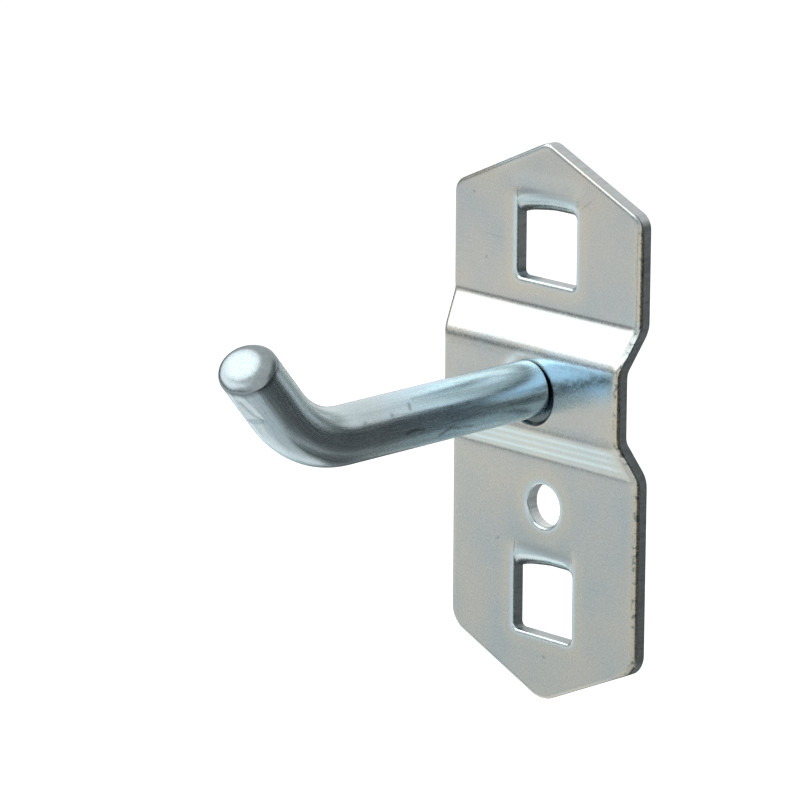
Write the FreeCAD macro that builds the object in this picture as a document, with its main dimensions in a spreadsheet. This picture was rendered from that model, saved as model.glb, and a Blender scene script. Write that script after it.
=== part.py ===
import FreeCAD, Part
import math
import os
import re
from enum import IntEnum

import Sketcher

# Pegboard hook: a stamped sheet-steel back plate with a raised band across it and two folded lugs, and a
# round wire peg whose turned spigot goes through the band and is riveted behind it.
# Frame: +Z up, +X to the right of someone facing the hook, -Y out of the board towards that person. The
# origin is the middle of the screw hole on the plate's back plane, which lies on the board.

os.makedirs("parts", exist_ok=True)

# Driving dimensions, in millimetres and degrees.
SIZES = {
    "plate_height": 39.4,  # from the lower tip to the upper tip
    "plate_width": 17.4,
    "hole_to_bottom": 14.0,  # from the screw hole's middle down to the lower tip
    "gable_height": 4.0,  # from the shoulders to a tip
    "shoulder_radius": 1.2,  # rounding of the outline's corners, seen from the front
    "upper_tip_radius": 1.3,
    "lower_tip_radius": 2.3,
    "sheet": 1.0,  # sheet thickness
    "band_offset": 1.5,  # how far the band stands out of the flanges
    "band_flat": 4.3,  # height of the band's flat face
    "band_inset": 0.56,  # the band is narrower than the flanges by this on each side
    "fold_height": 3.4,  # height of the sloping wall between band and flange, with its bends
    "fold_radius": 1.0,  # inside radius of those bends
    "hole_diameter": 3.0,
    "window_width": 5.5,
    "window_height": 6.25,  # from the window's lower edge to the lug's bend line
    "window_corner": 0.4,
    "lug_pitch": 25.0,  # from lug to lug, as the board's holes
    "lug_lift": 3.75,  # the middle between the lugs' bend lines, above the plate's middle
    "lug_clearance": 0.12,  # between a lug's side and its window's side
    "lug_radius": 0.5,  # inside radius of the lugs' bends
    "lug_corner": 0.3,  # rounding of a lug's free corners
    "board_gap": 1.2,  # room for the board between the plate and the upper lug
    "lug_rise": 0.95,  # the upper lug's end above its own upper face
    "lug_reach": 4.4,  # the lower lug's end behind the plate
    "peg_height": 8.6,  # the peg's axis, and the middle of the band, above the screw hole
    "wire_diameter": 4.0,
    "peg_run": 17.6,  # straight part of the peg, from the band's face to the bend
    "bend_radius": 7.6,  # of the wire's middle line
    "bend_angle": 50.5,
    "arm_length": 4.45,  # from the end of the bend to the middle of the end face
    "tip_skew": 11.0,  # the end face is sheared a little off square
    "tip_round": 0.35,
    "root_chamfer": 0.35,
    "seat_depth": 0.2,  # recess in the band that the peg's shoulder stands in
    "seat_clearance": 0.25,  # how much wider that recess is than the wire, on each side
    "seat_drop": 0.35,  # the recess sits below the peg's axis by this
    "spigot_diameter": 2.8,
    "spigot_clearance": 0.03,
    "head_diameter": 4.4,  # riveted head in the channel behind the band
    "head_height": 1.2,
}

doc = FreeCAD.newDocument("PegboardHook")
sheet = doc.addObject("Spreadsheet::Sheet", "Sizes")
for row, (alias, number) in enumerate(SIZES.items(), start=1):
    sheet.set(f"A{row}", alias)
    sheet.set(f"B{row}", str(number))
    sheet.setAlias(f"B{row}", alias)
doc.recompute()

ORIGIN = (-1, 1)  # a sketch's own origin point, as constraints name it
VERTICAL_AXIS = -2
EDGE_MATCH = 1e-4  # how near a measured edge is to where it is looked for
# From the screw hole's middle up to each lug's bend line.
LOWER_BEND = "plate_height / 2 - hole_to_bottom + lug_lift - lug_pitch / 2"
UPPER_BEND = "plate_height / 2 - hole_to_bottom + lug_lift + lug_pitch / 2"


class Spot(IntEnum):
    """The points of a line or an arc, as constraints name them."""

    START = 1
    END = 2
    CENTRE = 3


START, END, CENTRE = Spot


def size(alias):
    """The value of one driving dimension."""
    return float(sheet.get(alias))


def sized(expression):
    """The expression with each driving dimension's name led by the sheet's own."""
    return re.sub(r"[a-z_]+", lambda word: ("Sizes." if word[0] in SIZES else "") + word[0], expression)


class Drawing:
    """A sketch on one of a body's own origin planes, with constraints that are bound to the sheet."""

    def __init__(self, body, name, role, tilt=None, **offset):
        self.sketch = body.newObject("Sketcher::SketchObject", name)
        plane = next(item for item in body.Origin.OriginFeatures if item.Role == role)
        self.sketch.AttachmentSupport = [(plane, "")]
        self.sketch.MapMode = "FlatFace"
        if tilt:
            quarter = FreeCAD.Rotation(FreeCAD.Vector(1, 0, 0), 90)
            self.sketch.AttachmentOffset = FreeCAD.Placement(FreeCAD.Vector(), quarter)
            self.sketch.setExpression("AttachmentOffset.Rotation.Angle", sized(tilt))
        for direction, expression in offset.items():
            self.sketch.setExpression(f"AttachmentOffset.Base.{direction}", sized(expression))

    def line(self, start, end):
        """Adds a line and returns its number."""
        return self.sketch.addGeometry(Part.LineSegment(FreeCAD.Vector(*start, 0), FreeCAD.Vector(*end, 0)))

    def axis(self, start, end):
        """Adds a construction line and returns its number."""
        number = self.line(start, end)
        self.sketch.toggleConstruction(number)
        return number

    def arc(self, centre, radius, first, last):
        """Adds an arc, anticlockwise between two angles in degrees, and returns its number."""
        circle = Part.Circle(FreeCAD.Vector(*centre, 0), FreeCAD.Vector(0, 0, 1), radius)
        return self.sketch.addGeometry(Part.ArcOfCircle(circle, math.radians(first), math.radians(last)))

    def circle(self, centre, diameter_expression, diameter):
        """Adds a circle whose diameter follows the expression and returns its number."""
        place = FreeCAD.Vector(*centre, 0)
        number = self.sketch.addGeometry(Part.Circle(place, FreeCAD.Vector(0, 0, 1), diameter / 2))
        self.bind(Sketcher.Constraint("Diameter", number, diameter), diameter_expression)
        return number

    def tie(self, kind, *points):
        """Adds a constraint that has no size."""
        self.sketch.addConstraint(Sketcher.Constraint(kind, *points))

    def bind(self, constraint, expression):
        """Adds a constraint whose size follows the expression."""
        number = self.sketch.addConstraint(constraint)
        self.sketch.setExpression(f"Constraints[{number}]", sized(expression))

    def across(self, first, second, expression):
        """Binds the horizontal distance from the first point to the second."""
        self.bind(Sketcher.Constraint("DistanceX", *first, *second, self.gap(first, second).x), expression)

    def upright(self, first, second, expression):
        """Binds the vertical distance from the first point to the second."""
        self.bind(Sketcher.Constraint("DistanceY", *first, *second, self.gap(first, second).y), expression)

    def gap(self, first, second):
        """The vector from one point of the sketch to another."""
        return self.sketch.getPoint(*second) - self.sketch.getPoint(*first)

    def polygon(self, corners):
        """Adds a closed outline of lines and returns their numbers."""
        lines = [self.line(a, b) for a, b in zip(corners, corners[1:] + corners[:1])]
        for number, following in zip(lines, lines[1:] + lines[:1]):
            self.tie("Coincident", number, END, following, START)
        return lines


def feature(body, kind, name, profile, **settings):
    """Adds a feature made from a sketch; settings that are text are expressions."""
    made = body.newObject(f"PartDesign::{kind}", name)
    made.Profile = profile.sketch
    for key, value in settings.items():
        if isinstance(value, str) and key not in ("SideType", "Type"):
            made.setExpression(key, sized(value))
        else:
            setattr(made, key, value)
    return made


def dress(body, kind, name, alias, picks):
    """Rounds or chamfers the edges of the body's last feature that the test picks."""
    doc.recompute()
    base = body.Tip
    edges = [f"Edge{number}" for number, edge in enumerate(base.Shape.Edges, start=1) if picks(edge)]
    made = body.newObject(f"PartDesign::{kind}", name)
    made.Base = (base, edges)
    made.setExpression("Radius" if kind == "Fillet" else "Size", sized(alias))
    return made


def middle(edge):
    """The point half way along an edge."""
    return edge.valueAt((edge.FirstParameter + edge.LastParameter) / 2)


def near(value, wanted):
    """Whether a measured value is the wanted one."""
    return abs(value - wanted) < EDGE_MATCH


def bend_heights():
    """The heights of the lower and the upper lug's bend line above the screw hole's middle."""
    between = size("plate_height") / 2 - size("hole_to_bottom") + size("lug_lift")
    return between - size("lug_pitch") / 2, between + size("lug_pitch") / 2


def fold_slope():
    """The sloping wall's angle from the flanges, from the fold's height, offset and bends, in degrees."""
    across_bends = 2 * size("fold_radius") + size("sheet")
    over = across_bends - size("band_offset")
    between = math.hypot(size("fold_height"), over)
    return math.degrees(math.asin(across_bends / between) - math.atan2(over, size("fold_height")))


def sheet_profile(body):
    """The plate's section from top to bottom: flange, sloping wall, band, sloping wall, flange."""
    drawing = Drawing(body, "SheetProfile", "YZ_Plane")
    thick, small = size("sheet"), size("fold_radius")
    large = small + thick
    slope = fold_slope()
    top = size("plate_height") - size("hole_to_bottom")
    flat = size("band_flat") / 2
    rise = flat + size("fold_height")
    front_centre = -thick - small  # bends between a flange and its wall, hollow in front
    back_centre = -size("band_offset") + small  # bends between a wall and the band, hollow behind

    def surface(flange_radius, band_radius, flange_y, band_y):
        """One side of the sheet, upwards, as a chain of tangent lines and arcs."""
        peg = size("peg_height")
        low_flange = (front_centre, peg - rise)
        low_band = (back_centre, peg - flat)
        high_band = (back_centre, peg + flat)
        high_flange = (front_centre, peg + rise)

        def on(centre, radius, degrees):
            turn = math.radians(degrees)
            return (centre[0] + radius * math.cos(turn), centre[1] + radius * math.sin(turn))

        chain = [
            drawing.line((flange_y, -size("hole_to_bottom")), (flange_y, low_flange[1])),
            drawing.arc(low_flange, flange_radius, 0, slope),
            drawing.line(on(low_flange, flange_radius, slope), on(low_band, band_radius, 180 + slope)),
            drawing.arc(low_band, band_radius, 180, 180 + slope),
            drawing.line((band_y, low_band[1]), (band_y, high_band[1])),
            drawing.arc(high_band, band_radius, 180 - slope, 180),
            drawing.line(on(high_band, band_radius, 180 - slope), on(high_flange, flange_radius, -slope)),
            drawing.arc(high_flange, flange_radius, -slope, 0),
            drawing.line((flange_y, high_flange[1]), (flange_y, top)),
        ]
        low_turn, low_wall, low_bend = chain[1], chain[2], chain[3]
        high_bend, high_wall, high_turn = chain[5], chain[6], chain[7]
        drawing.tie("Tangent", chain[0], END, low_turn, START)
        drawing.tie("Tangent", low_turn, END, low_wall, START)
        drawing.tie("Tangent", low_wall, END, low_bend, END)
        drawing.tie("Tangent", low_bend, START, chain[4], START)
        drawing.tie("Tangent", chain[4], END, high_bend, END)
        drawing.tie("Tangent", high_bend, START, high_wall, START)
        drawing.tie("Tangent", high_wall, END, high_turn, START)
        drawing.tie("Tangent", high_turn, END, chain[8], START)
        drawing.tie("Vertical", chain[0])
        drawing.tie("Vertical", chain[8])
        return chain

    front = surface(small, large, -thick, -size("band_offset") - thick)
    back = surface(large, small, 0, -size("band_offset"))
    for bend in (1, 3, 5, 7):
        drawing.tie("Coincident", front[bend], CENTRE, back[bend], CENTRE)
        hollow, round_side = (front, back) if bend in (1, 7) else (back, front)
        drawing.bind(Sketcher.Constraint("Radius", hollow[bend], small), "fold_radius")
        drawing.bind(Sketcher.Constraint("Radius", round_side[bend], large), "fold_radius + sheet")
    for front_end, back_end, point in ((front[0], back[0], START), (front[-1], back[-1], END)):
        cap = drawing.line(
            tuple(drawing.sketch.getPoint(front_end, point))[:2],
            tuple(drawing.sketch.getPoint(back_end, point))[:2],
        )
        drawing.tie("Coincident", cap, START, front_end, point)
        drawing.tie("Coincident", cap, END, back_end, point)
        drawing.tie("Horizontal", cap)
        drawing.tie("PointOnObject", back_end, point, VERTICAL_AXIS)
    drawing.tie("Vertical", front[4])
    drawing.upright((back[0], START), ORIGIN, "hole_to_bottom")
    drawing.upright((back[0], START), (back[-1], END), "plate_height")
    drawing.across((back[4], START), ORIGIN, "band_offset")
    drawing.upright((front[4], START), (front[4], END), "band_flat")
    drawing.upright(ORIGIN, (front[4], START), "peg_height - band_flat / 2")
    drawing.upright((front[0], END), (front[4], START), "fold_height")
    drawing.upright((front[4], END), (front[-1], START), "fold_height")
    return drawing


def trim_frame(body):
    """What is cut off round the plate's outline: gabled ends, and sides that draw in at the band."""
    drawing = Drawing(body, "TrimFrame", "XZ_Plane")
    half = size("plate_width") / 2
    waist = half - size("band_inset")
    bottom = -size("hole_to_bottom")
    top = bottom + size("plate_height")
    gable = size("gable_height")
    peg, flat = size("peg_height"), size("band_flat") / 2
    rise = flat + size("fold_height")
    half_width = "plate_width / 2"
    waist_width = "plate_width / 2 - band_inset"
    # The right side, upwards: each corner's place and, as expressions, its distances from the middle line
    # and from the lower tip.
    side = [
        ((half, bottom + gable), half_width, "gable_height"),
        ((half, peg - rise), half_width, "hole_to_bottom + peg_height - band_flat / 2 - fold_height"),
        ((waist, peg - flat), waist_width, "hole_to_bottom + peg_height - band_flat / 2"),
        ((waist, peg + flat), waist_width, "hole_to_bottom + peg_height + band_flat / 2"),
        ((half, peg + rise), half_width, "hole_to_bottom + peg_height + band_flat / 2 + fold_height"),
        ((half, top - gable), half_width, "plate_height - gable_height"),
    ]
    right = [place for place, _, _ in side]
    left = [(-x, z) for x, z in reversed(right)]
    lines = drawing.polygon([(0, bottom)] + right + [(0, top)] + left)
    count = len(lines)
    drawing.tie("PointOnObject", lines[0], START, VERTICAL_AXIS)
    drawing.tie("PointOnObject", lines[len(side) + 1], START, VERTICAL_AXIS)
    drawing.upright((lines[0], START), ORIGIN, "hole_to_bottom")
    drawing.upright((lines[0], START), (lines[len(side) + 1], START), "plate_height")
    for step, (_, across, up) in enumerate(side, start=1):
        drawing.across(ORIGIN, (lines[step], START), across)
        drawing.upright((lines[0], START), (lines[step], START), up)
        drawing.tie("Symmetric", lines[step], START, lines[count - step], START, VERTICAL_AXIS)
    # The waste is a frame as wide again as the plate.
    far, low, high = 2 * half, bottom - half, top + half
    frame = drawing.polygon([(-far, low), (far, low), (far, high), (-far, high)])
    for number in (0, 2):
        drawing.tie("Horizontal", frame[number])
        drawing.tie("Vertical", frame[number + 1])
    drawing.across((frame[0], START), ORIGIN, "plate_width")
    drawing.across(ORIGIN, (frame[0], END), "plate_width")
    drawing.upright((frame[0], START), (lines[0], START), half_width)
    drawing.upright((lines[len(side) + 1], START), (frame[2], START), half_width)
    return drawing


def window_outline(body):
    """The lower window, from the lug's bend line down, with rounded lower corners."""
    drawing = Drawing(body, "WindowOutline", "XZ_Plane")
    half, corner = size("window_width") / 2, size("window_corner")
    top, _ = bend_heights()
    bottom = top - size("window_height")
    upper = drawing.line((half, top), (-half, top))
    left = drawing.line((-half, top), (-half, bottom + corner))
    left_corner = drawing.arc((-half + corner, bottom + corner), corner, 180, 270)
    lower = drawing.line((-half + corner, bottom), (half - corner, bottom))
    right_corner = drawing.arc((half - corner, bottom + corner), corner, 270, 360)
    right = drawing.line((half, bottom + corner), (half, top))
    drawing.tie("Coincident", upper, END, left, START)
    drawing.tie("Tangent", left, END, left_corner, START)
    drawing.tie("Tangent", left_corner, END, lower, START)
    drawing.tie("Tangent", lower, END, right_corner, START)
    drawing.tie("Tangent", right_corner, END, right, START)
    drawing.tie("Coincident", right, END, upper, START)
    drawing.tie("Vertical", left)
    drawing.tie("Horizontal", lower)
    drawing.tie("Symmetric", upper, START, upper, END, VERTICAL_AXIS)
    drawing.tie("Equal", left_corner, right_corner)
    drawing.bind(Sketcher.Constraint("Radius", left_corner, corner), "window_corner")
    drawing.across((left, START), (right, END), "window_width")
    drawing.upright((upper, END), ORIGIN, f"-({LOWER_BEND})")
    drawing.upright((lower, START), (upper, END), "window_height")
    return drawing


def lower_lug_profile(body):
    """The lower lug's section: bent back out of the window and straight."""
    drawing = Drawing(body, "LowerLugProfile", "YZ_Plane")
    thick, small = size("sheet"), size("lug_radius")
    bend, _ = bend_heights()
    under = bend - small - thick
    root = drawing.line((-thick, bend), (0, bend))
    hollow = drawing.arc((small, bend), small, 180, 270)
    upper = drawing.line((small, bend - small), (size("lug_reach"), bend - small))
    end = drawing.line((size("lug_reach"), bend - small), (size("lug_reach"), under))
    lower = drawing.line((size("lug_reach"), under), (small, under))
    round_side = drawing.arc((small, bend), small + thick, 180, 270)
    drawing.tie("Coincident", root, END, hollow, START)
    drawing.tie("Tangent", hollow, END, upper, START)
    drawing.tie("Coincident", upper, END, end, START)
    drawing.tie("Coincident", end, END, lower, START)
    drawing.tie("Tangent", lower, END, round_side, END)
    drawing.tie("Coincident", round_side, START, root, START)
    drawing.tie("Coincident", hollow, CENTRE, round_side, CENTRE)
    drawing.tie("Horizontal", root)
    drawing.tie("Horizontal", upper)
    drawing.tie("Horizontal", lower)
    drawing.tie("Vertical", end)
    drawing.tie("PointOnObject", root, END, VERTICAL_AXIS)
    drawing.bind(Sketcher.Constraint("Radius", hollow, small), "lug_radius")
    drawing.across((root, START), (root, END), "sheet")
    drawing.tie("Horizontal", root, END, hollow, CENTRE)
    drawing.upright((root, END), ORIGIN, f"-({LOWER_BEND})")
    drawing.across(ORIGIN, (upper, END), "lug_reach")
    return drawing


def upper_lug_profile(body):
    """The upper lug's section: bent back out of the window, then up behind the board."""
    drawing = Drawing(body, "UpperLugProfile", "YZ_Plane")
    thick, small, gap = size("sheet"), size("lug_radius"), size("board_gap")
    large = small + thick
    _, bend = bend_heights()
    turn = gap - small
    top = bend - small + size("lug_rise")
    root = drawing.line((-thick, bend), (0, bend))
    hollow = drawing.arc((small, bend), small, 180, 270)
    upper = drawing.line((small, bend - small), (turn, bend - small))
    up_hollow = drawing.arc((turn, bend), small, 270, 360)
    front = drawing.line((gap, bend), (gap, top))
    end = drawing.line((gap, top), (gap + thick, top))
    back = drawing.line((gap + thick, top), (gap + thick, bend))
    up_round = drawing.arc((turn, bend), large, 270, 360)
    lower = drawing.line((turn, bend - large), (small, bend - large))
    round_side = drawing.arc((small, bend), large, 180, 270)
    drawing.tie("Coincident", root, END, hollow, START)
    drawing.tie("Tangent", hollow, END, upper, START)
    drawing.tie("Tangent", upper, END, up_hollow, START)
    drawing.tie("Tangent", up_hollow, END, front, START)
    drawing.tie("Coincident", front, END, end, START)
    drawing.tie("Coincident", end, END, back, START)
    drawing.tie("Tangent", back, END, up_round, END)
    drawing.tie("Tangent", up_round, START, lower, START)
    drawing.tie("Tangent", lower, END, round_side, END)
    drawing.tie("Coincident", round_side, START, root, START)
    drawing.tie("Coincident", hollow, CENTRE, round_side, CENTRE)
    drawing.tie("Coincident", up_hollow, CENTRE, up_round, CENTRE)
    drawing.tie("Horizontal", root)
    drawing.tie("Horizontal", upper)
    drawing.tie("Horizontal", end)
    drawing.tie("Vertical", front)
    drawing.tie("Vertical", back)
    drawing.tie("PointOnObject", root, END, VERTICAL_AXIS)
    drawing.bind(Sketcher.Constraint("Radius", hollow, small), "lug_radius")
    drawing.tie("Equal", hollow, up_hollow)
    drawing.across((root, START), (root, END), "sheet")
    drawing.tie("Horizontal", root, END, hollow, CENTRE)
    drawing.upright(ORIGIN, (root, END), UPPER_BEND)
    drawing.across(ORIGIN, (front, END), "board_gap")
    drawing.upright((upper, END), (front, END), "lug_rise")
    return drawing


def round_outline(body, name, height, diameter_expression, diameter):
    """A circle on the plate's middle line, at the height of the screw hole or of the peg."""
    drawing = Drawing(body, name, "XZ_Plane")
    number = drawing.circle((0, size(height) if height else 0), diameter_expression, diameter)
    if height:
        drawing.tie("PointOnObject", number, CENTRE, VERTICAL_AXIS)
        drawing.upright(ORIGIN, (number, CENTRE), height)
    else:
        drawing.tie("Coincident", number, CENTRE, *ORIGIN)
    return drawing


def build_back_plate():
    """The stamped plate: bent sheet, outline, windows with their lugs, screw hole and the peg's seat."""
    body = doc.addObject("PartDesign::Body", "BackPlate")
    body.Label = "back_plate"
    feature(body, "Pad", "BentSheet", sheet_profile(body), SideType="Symmetric", Length="plate_width")
    feature(body, "Pocket", "Outline", trim_frame(body), SideType="Symmetric", Type="ThroughAll")
    bottom = -size("hole_to_bottom")
    top = bottom + size("plate_height")
    shoulders = (bottom + size("gable_height"), top - size("gable_height"))

    def shoulder(edge):
        """The corner edges between the straight sides and the gables."""
        place = middle(edge)
        at_side = near(abs(place.x), size("plate_width") / 2)
        return at_side and any(near(place.z, height) for height in shoulders)

    def tip(height):
        """A test for the corner edge at the tip of that height."""
        return lambda edge: near(middle(edge).x, 0) and near(middle(edge).z, height)

    dress(body, "Fillet", "Shoulders", "shoulder_radius", shoulder)
    dress(body, "Fillet", "UpperTip", "upper_tip_radius", tip(top))
    dress(body, "Fillet", "LowerTip", "lower_tip_radius", tip(bottom))
    window = feature(body, "Pocket", "Window", window_outline(body), SideType="Symmetric", Type="ThroughAll")
    doc.recompute()
    pattern = body.newObject("PartDesign::LinearPattern", "Windows")
    pattern.Originals = [window]
    pattern.Direction = (window.Profile[0], ["V_Axis"])
    pattern.Occurrences = 2
    pattern.setExpression("Length", sized("lug_pitch"))
    body.Tip = pattern
    hole = round_outline(body, "ScrewHoleCircle", None, "hole_diameter", size("hole_diameter"))
    feature(body, "Pocket", "ScrewHole", hole, SideType="Symmetric", Type="ThroughAll")
    bore = size("spigot_diameter") + 2 * size("spigot_clearance")
    bore_circle = round_outline(
        body, "SpigotHoleCircle", "peg_height", "spigot_diameter + 2 * spigot_clearance", bore
    )
    feature(body, "Pocket", "SpigotHole", bore_circle, SideType="Symmetric", Type="ThroughAll")
    seat = Drawing(body, "PegSeatCircle", "XZ_Plane", z="band_offset + sheet")
    recess = size("wire_diameter") + 2 * size("seat_clearance")
    seat_height = size("peg_height") - size("seat_drop")
    circle = seat.circle((0, seat_height), "wire_diameter + 2 * seat_clearance", recess)
    seat.tie("PointOnObject", circle, CENTRE, VERTICAL_AXIS)
    seat.upright(ORIGIN, (circle, CENTRE), "peg_height - seat_drop")
    feature(body, "Pocket", "PegSeat", seat, Length="seat_depth")
    lug_width = "window_width - 2 * lug_clearance"
    feature(body, "Pad", "LowerLug", lower_lug_profile(body), SideType="Symmetric", Length=lug_width)
    feature(body, "Pad", "UpperLug", upper_lug_profile(body), SideType="Symmetric", Length=lug_width)

    high_end = bend_heights()[1] - size("lug_radius") + size("lug_rise")

    def lug_corner(edge):
        """The corner edges of the lugs' free ends, through the sheet's thickness."""
        place = middle(edge)
        at_side = near(abs(place.x), size("window_width") / 2 - size("lug_clearance"))
        through = isinstance(edge.Curve, Part.Line) and near(edge.Length, size("sheet"))
        at_low_end = near(place.y, size("lug_reach"))
        at_high_end = near(place.z, high_end)
        return at_side and through and (at_low_end or at_high_end)

    dress(body, "Fillet", "LugCorners", "lug_corner", lug_corner)
    return body


def wire_path(body):
    """The peg's middle line: straight out from its seat, a bend and the slanting arm."""
    drawing = Drawing(body, "WirePath", "YZ_Plane")
    turn = math.radians(size("bend_angle"))
    radius, height = size("bend_radius"), size("peg_height")
    face = -size("band_offset") - size("sheet")
    bend = face - size("peg_run")
    length = size("arm_length") + size("wire_diameter")
    arm = (bend - radius * math.sin(turn), height + radius * (1 - math.cos(turn)))
    tip = (arm[0] - length * math.cos(turn), arm[1] + length * math.sin(turn))
    run = drawing.line((face + size("seat_depth"), height), (bend, height))
    curve = drawing.arc((bend, height + radius), radius, 270 - size("bend_angle"), 270)
    end = drawing.line(arm, tip)
    drawing.tie("Horizontal", run)
    drawing.tie("Tangent", run, END, curve, END)
    drawing.tie("Tangent", curve, START, end, START)
    drawing.upright(ORIGIN, (run, START), "peg_height")
    drawing.across((run, START), ORIGIN, "band_offset + sheet - seat_depth")
    drawing.across((run, END), ORIGIN, "band_offset + sheet + peg_run")
    drawing.bind(Sketcher.Constraint("Radius", curve, radius), "bend_radius")
    drawing.bind(Sketcher.Constraint("Angle", end, math.pi - turn), "180 - bend_angle")
    drawing.bind(Sketcher.Constraint("Distance", end, length), "arm_length + wire_diameter")
    return drawing


def end_waste(body):
    """What is sheared off the wire's end, seen across the arm: all beyond a line a little off square."""
    drawing = Drawing(
        body,
        "EndWaste",
        "XY_Plane",
        tilt="180 - bend_angle",
        y="-(band_offset + sheet + peg_run + bend_radius * sin(bend_angle))",
        z="peg_height + bend_radius * (1 - cos(bend_angle))",
    )
    side, length = size("wire_diameter"), size("arm_length")
    slip = side * math.tan(math.radians(size("tip_skew")))
    far = length + 2 * side
    corners = [(side, length - slip), (side, far), (-side, far), (-side, length + slip)]
    lines = drawing.polygon(corners)
    right, top, left, cut = lines
    drawing.tie("Vertical", right)
    drawing.tie("Vertical", left)
    drawing.tie("Horizontal", top)
    drawing.across(ORIGIN, (right, START), "wire_diameter")
    drawing.across((left, START), ORIGIN, "wire_diameter")
    drawing.upright(ORIGIN, (right, START), "arm_length - wire_diameter * tan(tip_skew)")
    drawing.upright(ORIGIN, (cut, START), "arm_length + wire_diameter * tan(tip_skew)")
    drawing.upright(ORIGIN, (top, START), "arm_length + 2 * wire_diameter")
    return drawing


def rivet_profile(body):
    """Half the section of the spigot and its riveted head, against the peg's axis."""
    drawing = Drawing(body, "RivetProfile", "YZ_Plane")
    axis, seat = size("peg_height"), -size("band_offset") - size("sheet") + size("seat_depth")
    behind = -size("band_offset")
    crown = behind + size("head_height")
    neck, rim = size("spigot_diameter") / 2, size("head_diameter") / 2
    # The head is a low dome: an arc from its rim to its crown on the axis.
    dome = (rim**2 + size("head_height") ** 2) / (2 * size("head_height"))
    spread = math.degrees(math.asin(rim / dome))
    root = drawing.line((seat, axis), (seat, axis + neck))
    shank = drawing.line((seat, axis + neck), (behind, axis + neck))
    under = drawing.line((behind, axis + neck), (behind, axis + rim))
    crest = drawing.arc((crown - dome, axis), dome, 0, spread)
    core = drawing.line((crown, axis), (seat, axis))
    for first, second in ((root, shank), (shank, under)):
        drawing.tie("Coincident", first, END, second, START)
    drawing.tie("Coincident", under, END, crest, END)
    drawing.tie("Coincident", crest, START, core, START)
    drawing.tie("Coincident", core, END, root, START)
    drawing.tie("Vertical", root)
    drawing.tie("Vertical", under)
    drawing.tie("Horizontal", shank)
    drawing.tie("Horizontal", core)
    drawing.tie("PointOnObject", crest, CENTRE, core)
    drawing.upright(ORIGIN, (core, END), "peg_height")
    drawing.across((root, START), ORIGIN, "band_offset + sheet - seat_depth")
    drawing.across((under, START), ORIGIN, "band_offset")
    drawing.across((under, START), (core, START), "head_height")
    drawing.upright((root, START), (root, END), "spigot_diameter / 2")
    drawing.upright((core, END), (under, END), "head_diameter / 2")
    line = drawing.axis((seat, axis), (crown, axis))
    drawing.tie("Coincident", line, START, core, END)
    drawing.tie("Coincident", line, END, core, START)
    return drawing


def build_peg():
    """The peg: wire swept along its path, sheared end, chamfered shoulder, spigot and riveted head."""
    body = doc.addObject("PartDesign::Body", "Peg")
    body.Label = "peg"
    path = wire_path(body)
    section = Drawing(body, "WireSection", "XZ_Plane", z="band_offset + sheet - seat_depth")
    circle = section.circle((0, size("peg_height")), "wire_diameter", size("wire_diameter"))
    section.tie("PointOnObject", circle, CENTRE, VERTICAL_AXIS)
    section.upright(ORIGIN, (circle, CENTRE), "peg_height")
    feature(body, "AdditivePipe", "Wire", section, Spine=(path.sketch, []))
    feature(body, "Pocket", "ShearedEnd", end_waste(body), SideType="Symmetric", Type="ThroughAll")
    seat = -size("band_offset") - size("sheet") + size("seat_depth")
    dress(body, "Chamfer", "RootChamfer", "root_chamfer", lambda edge: near(edge.BoundBox.YMin, seat))
    dress(body, "Fillet", "TipRound", "tip_round", lambda edge: isinstance(edge.Curve, Part.Ellipse))
    rivet = rivet_profile(body)
    feature(body, "Revolution", "Rivet", rivet, ReferenceAxis=(rivet.sketch, ["Axis0"]))
    return body


bodies = [build_back_plate(), build_peg()]
doc.recompute()
for item in doc.Objects:
    if "Invalid" in item.State or "Error" in item.State:
        raise RuntimeError(f"{item.Name} failed: {item.State}")
for body in bodies:
    if body.Shape.isNull() or not body.Shape.isValid():
        raise RuntimeError(f"{body.Label} has no valid shape")
    body.Shape.exportStep(f"parts/{body.Label}.step")
    print(body.Label, len(body.Shape.Solids), round(body.Shape.Volume, 2), body.Shape.BoundBox)
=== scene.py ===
import logging
import math
from dataclasses import dataclass
from enum import Enum
from typing import Any, NamedTuple, Sequence

import bmesh
import bpy
import numpy as np
from mathutils import Matrix, Vector, kdtree
from mathutils.geometry import delaunay_2d_cdt


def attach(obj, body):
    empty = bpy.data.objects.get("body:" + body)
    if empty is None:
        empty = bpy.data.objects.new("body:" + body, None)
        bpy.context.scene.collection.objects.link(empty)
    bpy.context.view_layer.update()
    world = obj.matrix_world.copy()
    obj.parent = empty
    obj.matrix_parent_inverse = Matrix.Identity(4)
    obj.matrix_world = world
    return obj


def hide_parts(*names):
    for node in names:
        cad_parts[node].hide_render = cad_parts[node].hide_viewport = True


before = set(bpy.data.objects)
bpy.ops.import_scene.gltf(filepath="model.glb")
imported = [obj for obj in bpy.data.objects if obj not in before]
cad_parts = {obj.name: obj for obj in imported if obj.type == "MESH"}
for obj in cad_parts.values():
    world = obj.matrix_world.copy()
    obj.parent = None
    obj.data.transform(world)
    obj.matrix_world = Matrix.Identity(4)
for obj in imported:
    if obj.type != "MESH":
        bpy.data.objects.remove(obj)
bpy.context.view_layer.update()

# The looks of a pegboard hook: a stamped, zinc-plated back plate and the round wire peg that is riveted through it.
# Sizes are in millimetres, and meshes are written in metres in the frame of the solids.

MM = 0.001
log = logging.getLogger("pegboard_hook")

Loop = np.ndarray
Column = list[int]
Triple = tuple[float, float, float]
Color = tuple[float, float, float, float]
Socket = bpy.types.NodeSocket


class Lug(Enum):
    """The two lugs, by their place on the plate."""

    LOWER = -1
    UPPER = 1


class Finish(Enum):
    """The finishes, with the record's material slot that each takes."""

    SHEET = "zinc_sheet"
    WIRE = "zinc_wire"


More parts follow.
